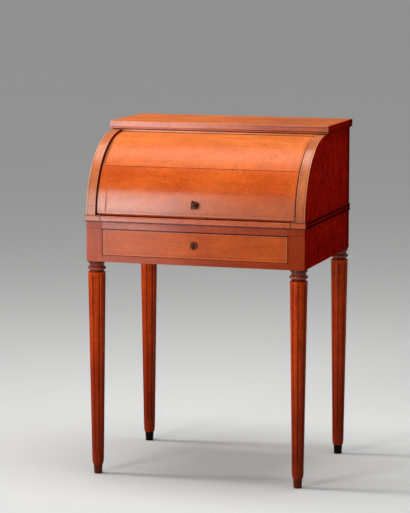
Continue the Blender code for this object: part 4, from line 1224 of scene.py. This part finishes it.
def drawer_lines(colour, x, y, z):
    ends = drawer_high.x - x.size()
    foot = z - drawer_low.z
    head = drawer_high.z - z
    inside = ends.least(foot).least(head)
    light = inside.near(EDGE_LINE, 0.0010)
    light = light + ends.near(LINE_INSET - 0.0022, 0.0009) + ends.near(LINE_INSET + 0.0026, 0.0009)
    colour = (light * 0.16).mix(colour, STRING_LIGHT)
    dark = ends.near(LINE_INSET, 0.0009) + ends.near(LINE_INSET + 0.0050, 0.0008)
    dark = dark + foot.near(LEVEL_LINE, 0.0008) + head.near(LEVEL_LINE, 0.0008) * x.rise(0.0, 0.20)
    colour = bore(x, z, drawer_lock_place).mix(colour, HOLE_PAINTED_SHADE)
    colour = (dark * 0.40).mix(colour, STRING_DARK)
    # Painted shade in the gaps: along the top edge, thinly all round, and down the right end.
    gap = head.rise(GAP_WIDTH + 0.0004, GAP_WIDTH - 0.0004)
    thin = inside.rise(0.0015, 0.0009) * 0.75
    right = (drawer_high.x - x).rise(GAP_WIDTH, GAP_WIDTH - 0.0006) * 0.85
    return (gap.most(thin).most(right) * 0.95).mix(colour, GAP_PAINTED_SHADE)


def dovetails(colour, x, y, z):
    depth = (y - TAIL_START) * (1 / TAIL_LENGTH)
    rows = (z - drawer_low.z) * (1 / TAIL_PITCH)
    wide = (rows.sum("FRACT", rows) - 0.5).size() - (0.40 - depth * 0.09)
    behind = y.rise(TAIL_START, TAIL_START + 0.0003)
    tail = wide.rise(0.012, -0.012) * behind
    outline = wide.near(0, 0.016) * behind
    return (outline * 0.6).mix(tail.mix(colour, OAK_PALE), JOINT_DARK)


drawer_veneer = timber(
    "drawer_veneer", DRAWER_PALE, DRAWER_DEEP, "x", gloss=0.17, specular=0.13, work=drawer_lines
)
drawer_ends = timber("drawer_front_ends", INSIDE_PALE, INSIDE_DEEP, "z", gloss=0.55, work=dovetails)
oak_crosswise = timber("oak_crosswise", OAK_PALE, OAK_DEEP, "x", gloss=0.62, specular=0.25, fleck=0.25)
bm = eased("drawer_front", DRAWER_EASE, 3)
for face in bm.faces:
    if abs(face.normal.x) > FACING and face.calc_area() > 0.0004:
        face.material_index = 1
piece("veneered_drawer_front", bm, "drawer", "drawer_front", "front_veneer", drawer_veneer, drawer_ends)
for node, grain in (
    ("drawer_side_left", oak_lengthwise),
    ("drawer_side_right", oak_lengthwise),
    ("drawer_back", oak_crosswise),
    ("drawer_bottom", oak_crosswise),
):
    piece(f"oak_{node}", eased(node, LINING_EASE), "drawer", node, "oak", grain)

# Fitted interior
# A nest of three pigeonholes over three small drawers, in thin polished boards halved into each other.
# It stands on its own base behind the cylinder.
inside_lengthwise = timber("inside_wood_lengthwise", INSIDE_PALE, INSIDE_DEEP, "y", gloss=0.42)
inside_upright = timber("inside_wood_upright", INSIDE_PALE, INSIDE_DEEP, "z", gloss=0.44)
for node, grain in (
    ("nest_base", inside_crosswise),
    ("nest_end_left", inside_upright),
    ("nest_end_right", inside_upright),
    ("nest_back", inside_crosswise),
    ("nest_top", inside_crosswise),
    ("nest_shelf", inside_crosswise),
    ("nest_divider_left", inside_lengthwise),
    ("nest_divider_right", inside_lengthwise),
):
    piece(f"polished_{node}", eased(node, BOARD_EASE), "case", node, "interior_wood", grain)

# Small inner drawers
# Each is a light tray glued up from thin boards, with a veneered front edged by a string line.
# It is pulled by a turned brass knob, whose stem is let into the front.
KNOB_RADIUS = 0.0065
KNOB_LENGTH = 0.013
TRAY_LINE = 0.0045
TRAY_FRONT = 0.002
brass = metal("aged_brass", (0.66, 0.45, 0.17), (0.40, 0.24, 0.08), 0.24)
knob_profile = [
    (0, 0.0003),
    (0.0046, 0.0003),
    *swell(0.0042, 0.0009, 0.0005, 0.0006, -60, 90, 6),
    (0.0031, 0.0021),
    (0.0029, 0.0030),
    *swell(0, KNOB_LENGTH - KNOB_RADIUS, KNOB_RADIUS, KNOB_RADIUS, -60, 90, 15),
]


def tray_lines(colour, x, y, z):
    low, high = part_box("inner_drawer_middle")
    line = (z - low.z).least(high.z - z).near(TRAY_LINE, STRING_HALF) * 0.8
    return line.mix(colour, STRING_DARK)


tray_front = timber("inner_drawer_veneer", FRONT_PALE, FRONT_DEEP, "x", gloss=0.40, work=tray_lines)
for hand in ("left", "middle", "right"):
    node = f"inner_drawer_{hand}"
    low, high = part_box(node)
    bm = eased(node, LINING_EASE)
    for face in bm.faces:
        if face.calc_center_median().y > low.y + TRAY_FRONT:
            face.material_index = 1
    piece(f"fitted_{node}", bm, node, node, "interior_wood", tray_front, inside_lengthwise)
    bm = turned(knob_profile, 48)
    bmesh.ops.rotate(bm, cent=(0, 0, 0), matrix=Matrix.Rotation(math.pi / 2, 3, "X"), verts=bm.verts)
    bmesh.ops.translate(bm, vec=((low.x + high.x) / 2, low.y, (low.z + high.z) / 2), verts=bm.verts)
    piece(f"turned_knob_{hand}", bm, node, f"inner_knob_{hand}", "brass", brass, sharp=35)

# Floor, light and camera
# A plain pale floor that runs past every view, one soft main light from the left, a tall panel in
# front and a panel overhead for the sheen, and the camera at the photograph's place.
FLOOR_HALF = 140
FLOOR_TONE = (0.76, 0.76, 0.75)
FLOOR_SHADE = (0.42, 0.42, 0.415)
ROOM_LIGHT = 0.16
DESK_MIDDLE = (0, 0, 0.75)
bm = bmesh.new()
bmesh.ops.create_grid(bm, x_segments=8, y_segments=8, size=FLOOR_HALF)
mesh = bpy.data.meshes.new("studio_floor")
bm.to_mesh(mesh)
bm.free()
floor = bpy.data.objects.new("studio_floor", mesh)
bpy.context.scene.collection.objects.link(floor)
floor_paint, start, shader = shader_of("pale_floor")
place = start.place()
mottle = place.times((1.3, 1.3, 1.3)).noise(3.0)
seen = [start.node("LightPath", {}, {}, f"Is {way} Ray") for way in ("Camera", "Glossy", "Transmission")]
tone = seen[0].most(seen[1]).most(seen[2]).mix(FLOOR_SHADE, FLOOR_TONE)
feed(shader, Base_Color=(mottle * 0.10).mix(tone, [c * 0.9 for c in FLOOR_TONE]))
shader.inputs["Roughness"].default_value = 0.85
shader.inputs["Specular IOR Level"].default_value = 0.1
mesh.materials.append(floor_paint)

world = bpy.data.worlds.new("studio")
world.use_nodes = True
world.node_tree.nodes["Background"].inputs["Color"].default_value = (1, 1, 1, 1)
world.node_tree.nodes["Background"].inputs["Strength"].default_value = ROOM_LIGHT
bpy.context.scene.world = world


def lamp(name, kind, place, target, strength, **settings):
    light = bpy.data.lights.new(name, kind)
    light.energy = strength
    for setting, value in settings.items():
        setattr(light, setting, value)
    made = bpy.data.objects.new(name, light)
    made.location = place
    made.rotation_euler = (Vector(target) - Vector(place)).to_track_quat("-Z", "Y").to_euler()
    made.visible_camera = False
    bpy.context.scene.collection.objects.link(made)


lamp("side_light", "SUN", (-6.0, -0.6, 4.2), DESK_MIDDLE, 1.4, angle=math.radians(12))
lamp(
    "front_panel", "AREA", (-1.40, -3.0, 1.20), (-0.1, 0, 0.9), 12.6,
    shape="RECTANGLE", size=0.78, size_y=2.4, spread=math.radians(70),
)
lamp("top_panel", "AREA", (-0.2, 0.02, 3.4), (-0.2, 0.03, 0), 75, shape="RECTANGLE", size=2.6, size_y=1.45)

eye = bpy.data.cameras.new("photo_view")
eye.sensor_width = 36
eye.lens = 160.67
eye.clip_end = 400
camera = bpy.data.objects.new("photo_view", eye)
camera.location = (1.9491, -6.2621, 1.5415)
camera.rotation_euler = (math.radians(90 - 8.06), 0, math.radians(17.65))
bpy.context.scene.collection.objects.link(camera)
bpy.context.scene.camera = camera
bpy.context.scene.view_settings.view_transform = "Standard"
